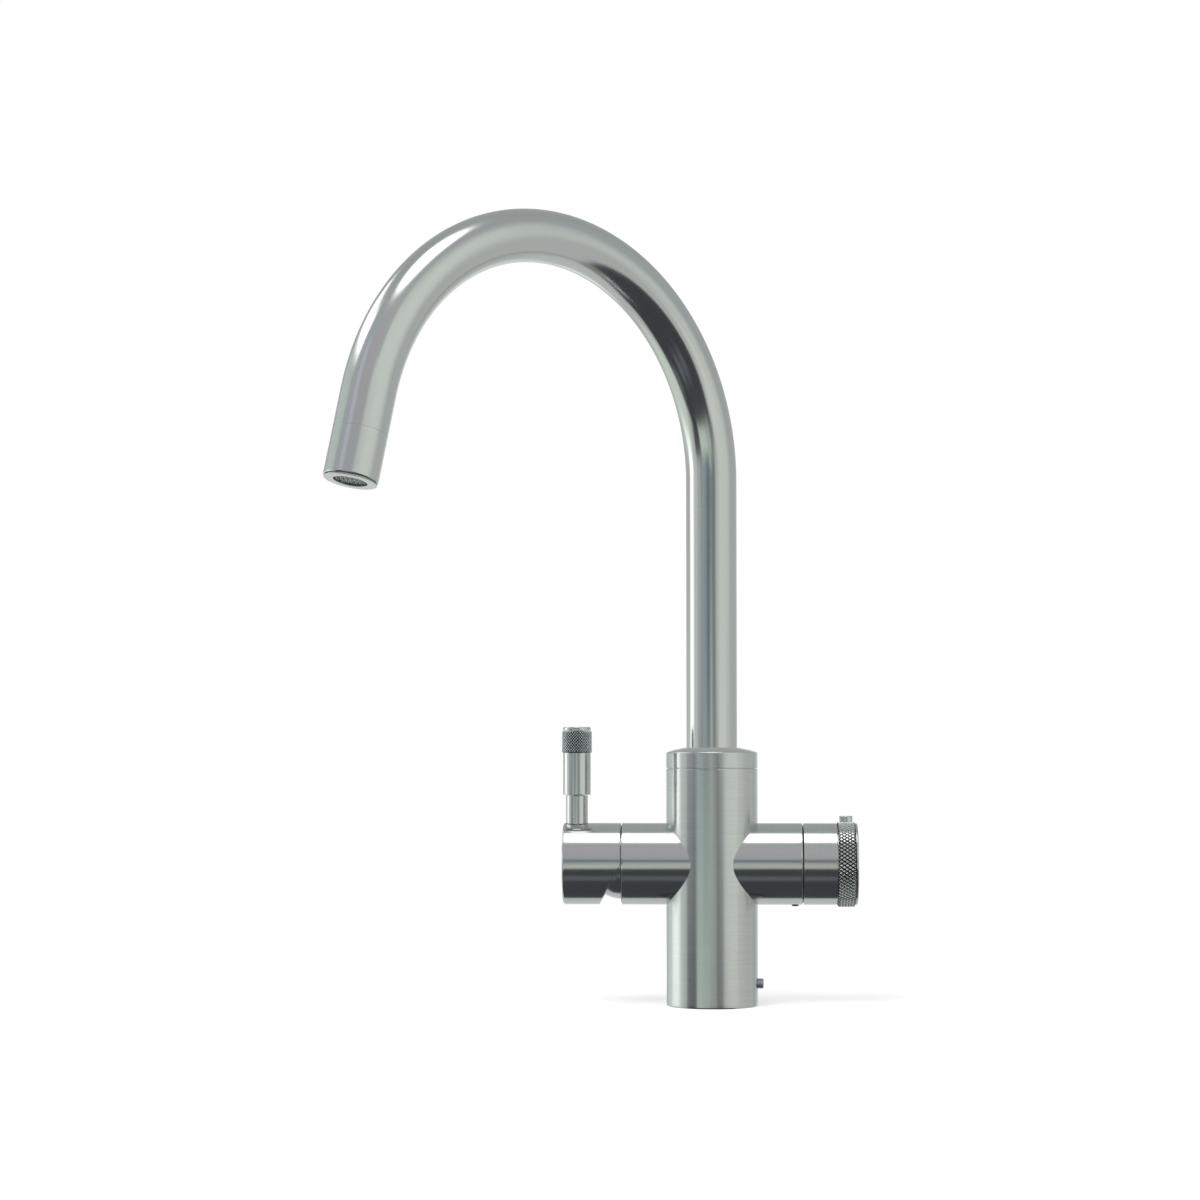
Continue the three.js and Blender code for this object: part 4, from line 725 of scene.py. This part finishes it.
class TAP_OT_spout(bpy.types.Operator):
    """Make the spout tube, its collar, the nozzle sleeve, the outlet housing and its screen"""
    bl_idname = "tap.spout"
    bl_label = "Spout"

    def execute(self, context):
        detail = context.scene.tap_sizes
        satin = [finish_of("satin_steel")]
        across, height, turn = spout_line()
        outer = swept(TUBE_RADIUS, across, height, turn)
        inner = swept(TUBE_BORE, across, height, turn)
        ends = [swept([TUBE_BORE, TUBE_RADIUS], across[[k, k]], height[[k, k]], turn[[k, k]])
                for k in (0, -1)]
        tube = piece("tube", [outer, inner, *ends], satin, "spout", "satin_steel", "spout_tube")
        for made in (tube, frame["nodes"]["inner_water_tube"]):
            made.visible_glossy = False     # the arms and the collar don't mirror the arch
        collar = outline([(12.8, 115.3), (21.2, 115.3), (21.2, 116.3), (21.6, 116.3),
                          (21.6, 116.5), (BODY_RADIUS, 116.5, 0.1),
                          (BODY_RADIUS, 124.2, 0.7), (18.6, 125.4, 9), (12.8, 126.6, 0.25)],
                         closed=True, steps=5)
        piece("collar", [turned(collar, count=144)], [finish_of("brushed_body")], "spout",
              "brushed_body", "spout_collar")
        shoulder = NOZZLE_LENGTH + NOZZLE_GAP
        sleeve = outline([(11.6, 0.0, 0.12), (TUBE_RADIUS, 0.0, 0.6),
                          (TUBE_RADIUS, NOZZLE_LENGTH, 0.07), (NOZZLE_SHOULDER, NOZZLE_LENGTH),
                          (NOZZLE_SHOULDER, shoulder), (NOZZLE_SPIGOT, shoulder),
                          (NOZZLE_SPIGOT, 30), (9.5, 30), (9.5, 11), (11.6, 11)], closed=True)
        piece("sleeve", [turned(sleeve, OUTLET, 120)], satin, "spout", "satin_steel",
              "nozzle_sleeve")
        housing = outline([(7.75, -0.95, 0.2), (12.1, -0.95, 0.2), (12.1, -0.45, 0.15),
                           (11.3, -0.45), (11.3, 8.45), (9, 8.45), (9, -0.65), (7.75, -0.65)],
                          closed=True)
        piece("outlet_housing", [turned(housing, OUTLET, 120)], [finish_of("plain_steel")],
              "spout", "plain_steel", "aerator_housing")
        rim = outline([(8.1, -0.35), (8.7, -0.35), (8.7, 0.45), (8.1, 0.45)], closed=True)
        wires = woven_wires(8.3, detail.mesh_pitch / MILLIMETRE, detail.mesh_wire / MILLIMETRE,
                            0.12)
        piece("outlet_screen", [turned(rim, OUTLET, 96), *wires], [finish_of("screen_steel")],
              "spout", "plain_steel", "aerator_screen")
        return {"FINISHED"}


# ---------------------------------------------------------------- handle and lever

class TAP_OT_handle(bpy.types.Operator):
    """Make the dome and the cup-shaped handle with its bevelled rim"""
    bl_idname = "tap.handle"
    bl_label = "Handle"

    def execute(self, context):
        satin = [finish_of("satin_steel")]
        self.dome(satin)
        self.cup(satin)
        return {"FINISHED"}

    def dome(self, satin):
        """Thin wall: outer and inner arcs about the tilt axis at the arm's end, r cos a by
        r sin a, down to the opening, on a short straight foot."""
        centre = TURNING_START
        rows = [(DOME_INNER, DOME_FOOT), (DOME_OUTER, DOME_FOOT)]
        for radius, start, end in ((DOME_OUTER, 0.0, math.acos(DOME_OPENING / DOME_OUTER)),
                                   (DOME_INNER, math.acos(DOME_OPENING / DOME_INNER), 0.0)):
            a = np.linspace(start, end, 25)
            rows.extend(np.stack([radius * np.cos(a), centre + radius * np.sin(a)], -1))
        rows.append((DOME_INNER, DOME_FOOT))
        piece("dome", [turned(rows, LEFT_ARM, 120)], satin, "root", "satin_steel", "dome_shroud")

    def cup(self, satin):
        """Rim at the start + tan(bevel) * depth below the axis; wall and end as a profile. Rim
        rows lean with that slope, and the wall's rows run straight between rim and end."""
        angle = np.linspace(0, TURN, 145)
        profile = outline([(0, 70.6), (3.5, 70.6), (3.5, HANDLE_FLOOR), (HANDLE_BORE, HANDLE_FLOOR),
                           (HANDLE_BORE, TURNING_START, 0.25), (ARM_RADIUS, TURNING_START, 0.2),
                           (ARM_RADIUS, HANDLE_END, 1.0), (0, HANDLE_END)], steps=5)
        rim = (profile[:, 1] < TURNING_START + 0.6).astype(float)[:, None]
        depth = np.maximum(0, -profile[:, :1] * np.cos(angle)[None, :])
        slope = rim * math.tan(BEVEL) * depth
        heights = profile[:, 1:2] + slope
        along = travelled(profile)[:, None] + slope
        made = piece("handle", [revolved(profile[:, :1], heights, LEFT_ARM, angle, along)],
                     satin, "handle", "satin_steel", "handle_cap")
        carve(made, [turned([(0, 0), (3.0, 0), (3.0, 19.2), (5.95, 19.2), (5.95, 22), (0, 22)],
                            LEVER, 64)])


class TAP_OT_lever(bpy.types.Operator):
    """Make the lever's stem, its sleeve with the fine knurl, and its cap"""
    bl_idname = "tap.lever"
    bl_label = "Lever"

    def execute(self, context):
        detail = context.scene.tap_sizes
        satin = finish_of("satin_steel")
        stem = outline([(0, 3.5), (2.7, 3.5), (2.7, STEM_FOOT), (STEM_RADIUS, STEM_FOOT, 0.3),
                        (STEM_RADIUS, STEM_TOP, 0.3), (PIN_RADIUS, STEM_TOP),
                        (PIN_RADIUS, PIN_TOP), (0, PIN_TOP)])
        piece("stem", [turned(stem, LEVER, 96)], [satin], "handle", "satin_steel", "lever_stem")
        radius, height, angle = knurl_rows(GRIP_PEAK, detail.grip_knurl_depth / MILLIMETRE,
                                           GRIP_FOOT, GRIP_TOP,
                                           detail.grip_knurls, detail.grip_knurl_rows,
                                           GRIP_FADE)
        pit = float(radius[0, 0])
        sleeve = outline([(SLEEVE_BORE, SLEEVE_FOOT), (SLEEVE_RADIUS, SLEEVE_FOOT, 0.25),
                          (SLEEVE_RADIUS, SLEEVE_TOP, 0.2), (pit, GRIP_FOOT)])
        top = outline([(pit, GRIP_TOP), (SLEEVE_BORE, GRIP_TOP), (SLEEVE_BORE, SLEEVE_FOOT)])
        patches = [(*revolved(sleeve[:, 0], sleeve[:, 1], LEVER, angle), 0),
                   (*revolved(radius, height, LEVER, angle), 1),
                   (*revolved(top[:, 0], top[:, 1], LEVER, angle), 0)]
        piece("grip", patches, [satin, finish_of("knurled_grip")], "handle", "knurled_steel",
              "lever_grip", split=True)
        cap = outline([(0, 61.5), (PIN_RADIUS, 61.5), (PIN_RADIUS, CAP_FOOT),
                       (SLEEVE_RADIUS, CAP_FOOT, 0.2), (SLEEVE_RADIUS, CAP_TOP, 0.45),
                       (0, CAP_TOP)])
        piece("cap", [turned(cap, LEVER, 96)], [satin], "handle", "satin_steel", "lever_cap")
        return {"FINISHED"}


# ---------------------------------------------------------------- knob and button

class TAP_OT_knob(bpy.types.Operator):
    """Make the knob's shell, knurled ring, end cap and fixing screw"""
    bl_idname = "tap.knob"
    bl_label = "Knob"

    def execute(self, context):
        detail = context.scene.tap_sizes
        satin = [finish_of("satin_steel")]
        shell = outline([(KNOB_BORE, TURNING_START, 0.2), (ARM_RADIUS, TURNING_START, 0.2),
                         (ARM_RADIUS, 61.3, 0.25), (RING_SEAT, 61.3), (RING_SEAT, KNURL_END),
                         (4.6, KNURL_END), (4.6, 65.5), (2.3, 65.5), (2.3, 61.5), (4.3, 61.5),
                         (4.3, 57.5), (7.5, 57.5), (7.5, 69.2), (KNOB_BORE, 69.2)], closed=True)
        made = piece("knob", [turned(shell, RIGHT_ARM, 144)], satin, "knob", "satin_steel",
                     "knob_shell")
        hole = [rod(3.55, 10, 40, BUTTON)]
        carve(made, hole)
        carve(made, [self.key()], "UNION")
        radius, height, angle = knurl_rows(RING_PEAK, detail.knurl_depth / MILLIMETRE,
                                           KNURL_START, KNURL_END, detail.knurls,
                                           detail.knurl_rows, RING_FADE)
        pit = float(radius[0, 0])
        rows = [revolved([RING_BORE, pit], [KNURL_START] * 2, RIGHT_ARM, angle),
                revolved(radius, height, RIGHT_ARM, angle),
                revolved([pit, RING_BORE, RING_BORE], [KNURL_END, KNURL_END, KNURL_START],
                         RIGHT_ARM, angle)]
        ring = piece("knurl", rows, [finish_of("knurled_steel")], "knob", "knurled_steel",
                     "knurled_ring", split=True)
        carve(ring, hole)
        cap = outline([(0, 69.1), (4.3, 69.1), (4.3, 70.3), (ARM_RADIUS, 70.3, 0.12),
                       (ARM_RADIUS, KNOB_END, 0.7), (0, KNOB_END)], steps=5)
        piece("end_cap", [turned(cap, RIGHT_ARM, 144)], satin, "knob", "satin_steel",
              "knob_end_cap")
        screw = [(0, 50), (2, 50), (2, 65.8), (3.6, 65.8), (3.6, 68.5), (3.3, 68.8), (2.1, 68.8),
                 (1.6, 68.7), (1.6, 67), (0, 67)]
        piece("hub_screw", [turned(screw, RIGHT_ARM, 48, six=(7, 8))],
              [finish_of("plain_steel")], "knob", "plain_steel", "knob_screw")
        return {"FINISHED"}

    def key(self):
        """Key of the turn stop: a rectangle of radius by distance, turned through 12 degrees
        and closed at either end by its rows drawn together in the middle."""
        f = np.linspace(-1, 1, 9) * math.radians(6)
        loop = np.array([(15.9, 45.5), (18.0, 45.5), (18.0, 50.9), (15.9, 50.9), (15.9, 45.5)])
        middle = np.array([(17.0, 48.2)] * len(loop))
        radius, height = [np.stack([middle[:, k], *[loop[:, k]] * len(f), middle[:, k]], 1)
                          for k in (0, 1)]
        angle = np.concatenate([f[:1], f, f[-1:]])
        return revolved(radius, height, RIGHT_ARM, angle)


class TAP_OT_button(bpy.types.Operator):
    """Make the safety button with its rounded edge, its two lugs and a top dished by
    depth * cos^2 of a quarter turn from the middle to the dish's edge"""
    bl_idname = "tap.button"
    bl_label = "Safety button"

    def execute(self, context):
        low, high = BUTTON_FOOT, BUTTON_TOP
        rows = outline([(0, low), (BUTTON_RADIUS, low), (BUTTON_RADIUS, high, 0.55),
                        (DISH_RADIUS, high)], steps=6)
        dish = np.linspace(DISH_RADIUS, 0, 9)
        sunk = DISH_DEPTH * np.cos(dish / DISH_RADIUS * math.pi / 2) ** 2
        top = np.stack([dish, high - sunk], -1)
        made = piece("button", [turned(np.concatenate([rows, top[1:]]), BUTTON, 72)],
                     [finish_of("satin_steel")], "button", "satin_steel", "safety_button")
        across, reach = LUG_HALF_WIDTH, LUG_REACH
        ring = np.array([(-across, -reach), (across, -reach), (across, reach), (-across, reach),
                         (-across, -reach)])
        heights = np.array([low, low, low + LUG_THICKNESS, low + LUG_THICKNESS])
        scale = np.array([0, 1, 1, 0])[:, None]
        x, y = scale * ring[None, :, 0], scale * ring[None, :, 1]
        points = put(np.stack([x, y, heights[:, None] + 0 * x], -1), BUTTON)
        carve(made, [(points, np.stack([x, y], -1))], "UNION")
        return {"FINISHED"}


# ---------------------------------------------------------------- carried-over solids

class TAP_OT_finishes(bpy.types.Operator):
    """Give the solids that stay as they are the finish of their material slot"""
    bl_idname = "tap.finishes"
    bl_label = "Finishes of the inner pieces"

    def execute(self, context):
        finishes = make_finishes()
        for entry in frame["record"]["subparts"]:
            for slot in frame["nodes"][entry["node"]].material_slots:
                slot.material = finishes[inner_slot(entry["material_slot"])]
        return {"FINISHED"}


def inner_slot(slot):
    """Solids have no brushing map, so they take the plain finish instead of a turned one."""
    return "plain_steel" if slot in ("brushed_body", "satin_steel", "dark_steel",
                                     "knurled_steel") else slot


# ---------------------------------------------------------------- stage

def ramp(tree, factor, stops):
    """Colour ramp through (place, red, green, blue) stops."""
    made = node(tree, "ShaderNodeValToRGB", {0: factor})
    elements = made.color_ramp.elements
    while len(elements) > 1:
        elements.remove(elements[-1])
    for i, (place, *colour) in enumerate(stops):
        element = elements[0] if i == 0 else elements.new(place)
        element.position = place
        element.color = (*colour, 1.0)
    return made.outputs[0]


# What the metal sees of the studio, in degrees round to the user's right and degrees up, with
# colours as they look in the steel. First what lies behind it all, by degrees up
SURROUND = ((-90, (56, 58, 60)), (-66, (56, 58, 60)), (-57, (164, 166, 165)), (0, (160, 163, 161)),
            (20, (148, 151, 152)), (90, (146, 149, 149)))
# then soft-edged frames: left, right, foot, top, softness, rise of its level edges, colour
FRAMES_UNDER = (
    (28, 88, 0, 48, 16, 0, (187, 192, 187)),
    (33, 68, -9, 3, 6, 0, (190, 194, 188)),
    (-142, -80, -40, 0, 8, 0, (185, 193, 186)),
    (-130, -77, 13, 31, 7, 0, (169, 178, 174)),
    (-92, -66, -3, 16, 4, 0, (174, 180, 178)),
    (10, 40, 19, 44, 8, 0, (187, 192, 187)),
    (0, 22, 30, 55, 5, 0, (152, 157, 156)),
    (-24, 0, 30, 52, 5, 0, (158, 152, 154)),
    (-72, -26, 18, 54, 8, 0, (149, 153, 158)),
    (-50, -35, 16, 46, 5, 0, (168, 170, 175)),
)
FRAMES_OVER = (
    (-40, 14, -14, -1.5, 2, 0.1, (161, 167, 159)),
    (-40, -6, -15, -1.5, 2, 0.1, (178, 188, 179)),
    (-50, -32, -2, 14, 4, 0, (136, 143, 146)),
    (-34, -18, -2, 14, 4, 0, (122, 131, 137)),
    (-21, -6, -2, 14, 2, 0, (92, 101, 106)),
    (4, 18, -1, 15, 2, 0, (110, 118, 115)),
    (-6, 12, 5, 12, 2, 0, (98, 104, 108)),
    (-66, -39, -17, -2.5, 4, 0, (60, 63, 66)),
    (12, 28, -10, -1, 2, 0, (112, 114, 112)),
    (127, 135, -60, 0, 5, 0, (140, 143, 140)),
    (-131, -75, 34.5, 49.5, 4, 0.1, (300, 300, 300)),
    (-121, -90, -9, -2, 5, 0, (238, 245, 242)),
    (-112, -89, -2, 12, 5, 0, (276, 278, 277)),
    (-84, -60, -44, -32, 5, 0, (90, 94, 99)),
    (-44, -22, -52, -38, 5, 0, (92, 95, 100)),
    (-16, 10, -47, -34, 4, 0, (84, 88, 93)),
)
# and discs: middle round, middle up, radius, softness, colour
DISCS_UNDER = (
    (180, 52, 36, 8, (142, 146, 144)),
    (172, -8, 15, 8, (188, 191, 190)),
    (180, -46, 23, 5, (172, 174, 174)),
    (-10, -55.9, 53.9, 1.5, (56, 58, 60)),
)
DISCS_OVER = (
    (-15, 80, 16.5, 3, (310, 310, 310)),
    (-166, -20, 9, 3, (206, 209, 207)),
)
GAIN = 3.0             # strength of the studio's light, by which its colours are divided
STEEL_SHARE = 0.6      # share of the light that the steel sends back
WHITE = (1, 1, 1, 1)
FLOOR_GLOW = 0.42
WHITE_FROM_TO = (0.16, 0.75)      # distances from the tap between which the floor turns white
TENT_RADIUS, TENT_CENTRE = 3000.0, 120.0
CAMERA_PLACE, CAMERA_LENS = (0.009376, -1.42594, 0.12038), 86.48
CAMERA_YAW, CAMERA_PITCH = -0.0453, 0.0555


def studio_colour(colour):
    """Light that looks like the colour in steel, as a share of the tent's strength."""
    return tuple(part / STEEL_SHARE / GAIN for part in rgb(*colour))


def in_frame(tree, turn, rise, left, right, foot, top, soft, lean):
    """1 for directions inside the frame and 0 outside it, with a soft edge."""
    level = maths(tree, "SUBTRACT", rise, maths(
        tree, "MULTIPLY", maths(tree, "SUBTRACT", turn, (left + right) / 2), lean))
    shares = []
    for value, low, high in ((turn, left, right), (level, foot, top)):
        off = maths(tree, "ABSOLUTE", maths(tree, "SUBTRACT", value, (low + high) / 2))
        half = (high - low) / 2
        shares.append(ranged(tree, off, half - soft, half + soft, 1.0, 0.0, "SMOOTHSTEP"))
    return maths(tree, "MULTIPLY", *shares)


def in_disc(tree, way, turn, rise, radius, soft):
    """1 for directions within the radius of the disc's middle and 0 outside, softly."""
    turn, rise = math.radians(turn), math.radians(rise)
    middle = (math.cos(rise) * math.sin(turn), -math.cos(rise) * math.cos(turn), math.sin(rise))
    facing = node(tree, "ShaderNodeVectorMath", {0: way, 1: middle}, operation="DOT_PRODUCT")
    edges = [math.cos(math.radians(radius + part)) for part in (soft, -soft)]
    return ranged(tree, facing.outputs["Value"], *edges, 0.0, 1.0, "SMOOTHSTEP")


class TAP_OT_stage(bpy.types.Operator):
    """Make the floor, the studio that the metal reflects, the lamps, the world and the camera"""
    bl_idname = "tap.stage"
    bl_label = "Stage"

    def execute(self, context):
        stage = context.scene.tap_stage
        self.floor(tuple(stage.floor_colour))
        self.tent()
        self.lamps(stage.lamp_strength)
        self.world(stage.fill)
        self.camera()
        context.scene.view_settings.view_transform = "Standard"
        return {"FINISHED"}

    def floor(self, colour):
        """Disc at the worktop's height. It is pale where it is lit, and it goes over to the
        white of the background a step away from the tap."""
        finish, tree = new_finish("floor")
        place = node(tree, "ShaderNodeTexCoord").outputs["Object"]
        away = node(tree, "ShaderNodeVectorMath", {0: place}, operation="LENGTH").outputs["Value"]
        fade = ranged(tree, away, *WHITE_FROM_TO, 0.0, 1.0, "SMOOTHSTEP")
        speckle = noise(tree, place, 900.0, 2.0)
        matt = node(tree, "ShaderNodeBsdfDiffuse", {
            "Color": shades(tree, speckle, colour, 0.99, 1.01)})
        glow = node(tree, "ShaderNodeEmission", {"Color": WHITE, "Strength": FLOOR_GLOW})
        lit = node(tree, "ShaderNodeAddShader", {0: matt.outputs[0], 1: glow.outputs[0]})
        white = node(tree, "ShaderNodeEmission", {"Color": WHITE, "Strength": 1.0})
        faded = node(tree, "ShaderNodeMixShader", {
            0: fade, 1: lit.outputs[0], 2: white.outputs[0]})
        seen = node(tree, "ShaderNodeMixShader", {
            0: node(tree, "ShaderNodeLightPath").outputs["Is Camera Ray"],
            1: matt.outputs[0], 2: faded.outputs[0]})
        node(tree, "ShaderNodeOutputMaterial", {"Surface": seen.outputs[0]})
        radius = np.array([0, 30, 60, 120, 400, 1200, 4000.0])
        made = piece("floor", [revolved(radius, np.zeros(7))], [finish], None, None)
        made.data.polygons.foreach_set("use_smooth", [True] * len(made.data.polygons))
        made.visible_glossy = False

    def tent(self):
        """Sphere round the tap that only reflections see: a grey studio over a dark floor, with
        white panels above and at the left, by direction from the middle of the tap."""
        finish, tree = new_finish("tent")
        place = node(tree, "ShaderNodeTexCoord").outputs["Object"]
        way = vector(tree, "NORMALIZE", vector(
            tree, "SUBTRACT", place, (0, 0, TENT_CENTRE * MILLIMETRE)))
        x, y, z = node(tree, "ShaderNodeSeparateXYZ", {0: way}).outputs
        degree = 360 / TURN
        turn = maths(tree, "MULTIPLY", maths(
            tree, "ARCTAN2", x, maths(tree, "MULTIPLY", y, -1.0)), degree)
        rise = maths(tree, "MULTIPLY", maths(tree, "ARCSINE", z), degree)
        stops = [(degrees / 180 + 0.5, *studio_colour(colour)) for degrees, colour in SURROUND]
        colour = ramp(tree, maths(tree, "MULTIPLY_ADD", rise, 1 / 180, 0.5), stops)
        for frames, discs in ((FRAMES_UNDER, DISCS_UNDER), (FRAMES_OVER, DISCS_OVER)):
            shares = [(in_frame(tree, turn, rise, *shape), look) for *shape, look in frames]
            shares += [(in_disc(tree, way, *shape), look) for *shape, look in discs]
            for share, look in shares:
                colour = node(tree, "ShaderNodeMix", {
                    "Factor": share, 6: colour, 7: (*studio_colour(look), 1.0),
                }, data_type="RGBA").outputs[2]
        light = node(tree, "ShaderNodeEmission", {"Color": colour, "Strength": GAIN})
        node(tree, "ShaderNodeOutputMaterial", {"Surface": light.outputs[0]})
        finish.cycles.emission_sampling = "NONE"
        a = np.linspace(-math.pi / 2, math.pi / 2, 33)
        sphere = turned(np.stack([TENT_RADIUS * np.cos(a), TENT_CENTRE + TENT_RADIUS * np.sin(a)],
                                 -1), count=64)
        made = piece("tent", [sphere], [finish], None, None, sharp=math.pi)
        made.data.flip_normals()
        for ray in ("camera", "diffuse", "transmission", "volume_scatter", "shadow"):
            setattr(made, "visible_" + ray, False)

    def lamps(self, strength):
        """Two soft lamps for what is matt: a large one above at the user's left, and a smaller
        and weaker one at the right."""
        for name, place, size, share in (("key", (-0.7, -1.0, 1.5), 1.4, 1.0),
                                         ("fill", (1.3, -0.9, 0.9), 1.2, 0.4)):
            lamp = bpy.data.lights.new(name, "AREA")
            lamp.shape, lamp.size, lamp.energy = "DISK", size, strength * share
            made = bpy.data.objects.new(name, lamp)
            made.location = place
            made.rotation_mode = "QUATERNION"
            towards = Vector((0, 0, 0.1)) - made.location
            made.rotation_quaternion = towards.to_track_quat("-Z", "Y")
            made.visible_glossy = False
            bpy.context.scene.collection.objects.link(made)

    def world(self, fill):
        """White where the camera, metal or glass looks at it, and a soft fill for the rest."""
        world = bpy.data.worlds.new("studio")
        world.use_nodes = True
        tree = world.node_tree
        tree.nodes.clear()
        path = node(tree, "ShaderNodeLightPath").outputs
        seen = maths(tree, "MAXIMUM", path["Is Camera Ray"], maths(
            tree, "MAXIMUM", path["Is Glossy Ray"], path["Is Transmission Ray"]))
        strength = ranged(tree, seen, 0, 1, fill, 1.0)
        light = node(tree, "ShaderNodeBackground", {"Color": WHITE, "Strength": strength})
        node(tree, "ShaderNodeOutputWorld", {"Surface": light.outputs[0]})
        bpy.context.scene.world = world

    def camera(self):
        """Camera at the height of the body's top, looking slightly up and to the left: ahead is
        (sin yaw cos pitch, cos yaw cos pitch, sin pitch)."""
        yaw, pitch = CAMERA_YAW, CAMERA_PITCH
        camera = bpy.data.cameras.new("camera")
        camera.sensor_width, camera.lens = 36.0, CAMERA_LENS
        made = bpy.data.objects.new("camera", camera)
        made.location = CAMERA_PLACE
        ahead = Vector((math.sin(yaw) * math.cos(pitch), math.cos(yaw) * math.cos(pitch),
                        math.sin(pitch)))
        made.rotation_mode = "QUATERNION"
        made.rotation_quaternion = ahead.to_track_quat("-Z", "Y")
        bpy.context.scene.collection.objects.link(made)
        bpy.context.scene.camera = made


# ---------------------------------------------------------------- settings and panel

class TapSizes(bpy.types.PropertyGroup):
    """Fine sizes that only the surfaces have"""
    knurls: bpy.props.IntProperty(
        name="Knob knurls", description="Diamonds round the knob's ring", default=68, min=12)
    knurl_rows: bpy.props.IntProperty(
        name="Knob knurl rows", description="Rows of diamonds on the knob's ring", default=3, min=1)
    knurl_depth: bpy.props.FloatProperty(
        name="Knob knurl depth", description="From the tips to the bottom of the grooves",
        default=0.0005, unit="LENGTH", precision=5)
    grip_knurls: bpy.props.IntProperty(
        name="Grip knurls", description="Diamonds round the lever's grip", default=34, min=12)
    grip_knurl_rows: bpy.props.IntProperty(
        name="Grip knurl rows", description="Rows of diamonds on the lever's grip", default=7, min=1)
    grip_knurl_depth: bpy.props.FloatProperty(
        name="Grip knurl depth", description="From the tips to the bottom of the grooves",
        default=0.00038, unit="LENGTH", precision=5)
    thread_pitch: bpy.props.FloatProperty(
        name="Thread pitch", description="Pitch of the shank's and nut's thread",
        default=0.002, unit="LENGTH", precision=4)
    mesh_pitch: bpy.props.FloatProperty(
        name="Screen pitch", description="Distance between the close wires of the outlet screen",
        default=0.00108, unit="LENGTH", precision=5)
    mesh_wire: bpy.props.FloatProperty(
        name="Screen wire", description="Thickness of the wires of the outlet screen",
        default=0.00048, unit="LENGTH", precision=5)


class TapFinishes(bpy.types.PropertyGroup):
    """Colours and roughness of the steel"""
    steel_colour: bpy.props.FloatVectorProperty(
        name="Steel", description="Colour of the brushed and satin steel", subtype="COLOR",
        size=3, default=rgb(204, 206, 205), min=0, max=1)
    dark_colour: bpy.props.FloatVectorProperty(
        name="Dark steel", description="Colour of the dark steel", subtype="COLOR", size=3,
        default=rgb(186, 190, 199), min=0, max=1)
    body_roughness: bpy.props.FloatProperty(
        name="Body roughness", description="Roughness of the brushed body", default=0.21,
        min=0, max=1, subtype="FACTOR")
    satin_roughness: bpy.props.FloatProperty(
        name="Satin roughness", description="Roughness of the satin tube, handle and knob",
        default=0.16, min=0, max=1, subtype="FACTOR")


class TapStage(bpy.types.PropertyGroup):
    """Floor and light"""
    floor_colour: bpy.props.FloatVectorProperty(
        name="Floor", description="Colour of the floor", subtype="COLOR", size=3,
        default=(0.74, 0.74, 0.74), min=0, max=1)
    lamp_strength: bpy.props.FloatProperty(
        name="Lamp", description="Strength of the large lamp", default=24.0, subtype="POWER")
    fill: bpy.props.FloatProperty(
        name="Fill", description="Strength of the light from all round", default=0.5, min=0)


STEPS = (TAP_OT_finishes, TAP_OT_body, TAP_OT_fixing, TAP_OT_spout, TAP_OT_handle, TAP_OT_lever,
         TAP_OT_knob, TAP_OT_button, TAP_OT_stage)


class TAP_PT_panel(bpy.types.Panel):
    """Lists the tap's settings and the steps that build it"""
    bl_idname = "TAP_PT_panel"
    bl_label = "Boiling water tap"
    bl_space_type = "VIEW_3D"
    bl_region_type = "UI"
    bl_category = "Tap"

    def draw(self, context):
        for group in (context.scene.tap_sizes, context.scene.tap_finishes,
                      context.scene.tap_stage):
            for name in group.bl_rna.properties.keys():
                if name not in ("rna_type", "name"):
                    self.layout.prop(group, name)
        for step in STEPS:
            self.layout.operator(step.bl_idname)


GROUPS = (("tap_sizes", TapSizes), ("tap_finishes", TapFinishes), ("tap_stage", TapStage))


def register():
    for name, group in GROUPS:
        bpy.utils.register_class(group)
        setattr(bpy.types.Scene, name, bpy.props.PointerProperty(type=group))
    for kind in (*STEPS, TAP_PT_panel):
        bpy.utils.register_class(kind)


def unregister():
    for kind in reversed((*STEPS, TAP_PT_panel)):
        bpy.utils.unregister_class(kind)
    for name, group in reversed(GROUPS):
        delattr(bpy.types.Scene, name)
        bpy.utils.unregister_class(group)


def main():
    register()
    for step in STEPS:
        group, name = step.bl_idname.split(".")
        getattr(getattr(bpy.ops, group), name)()


if __name__ == "__main__":
    main()
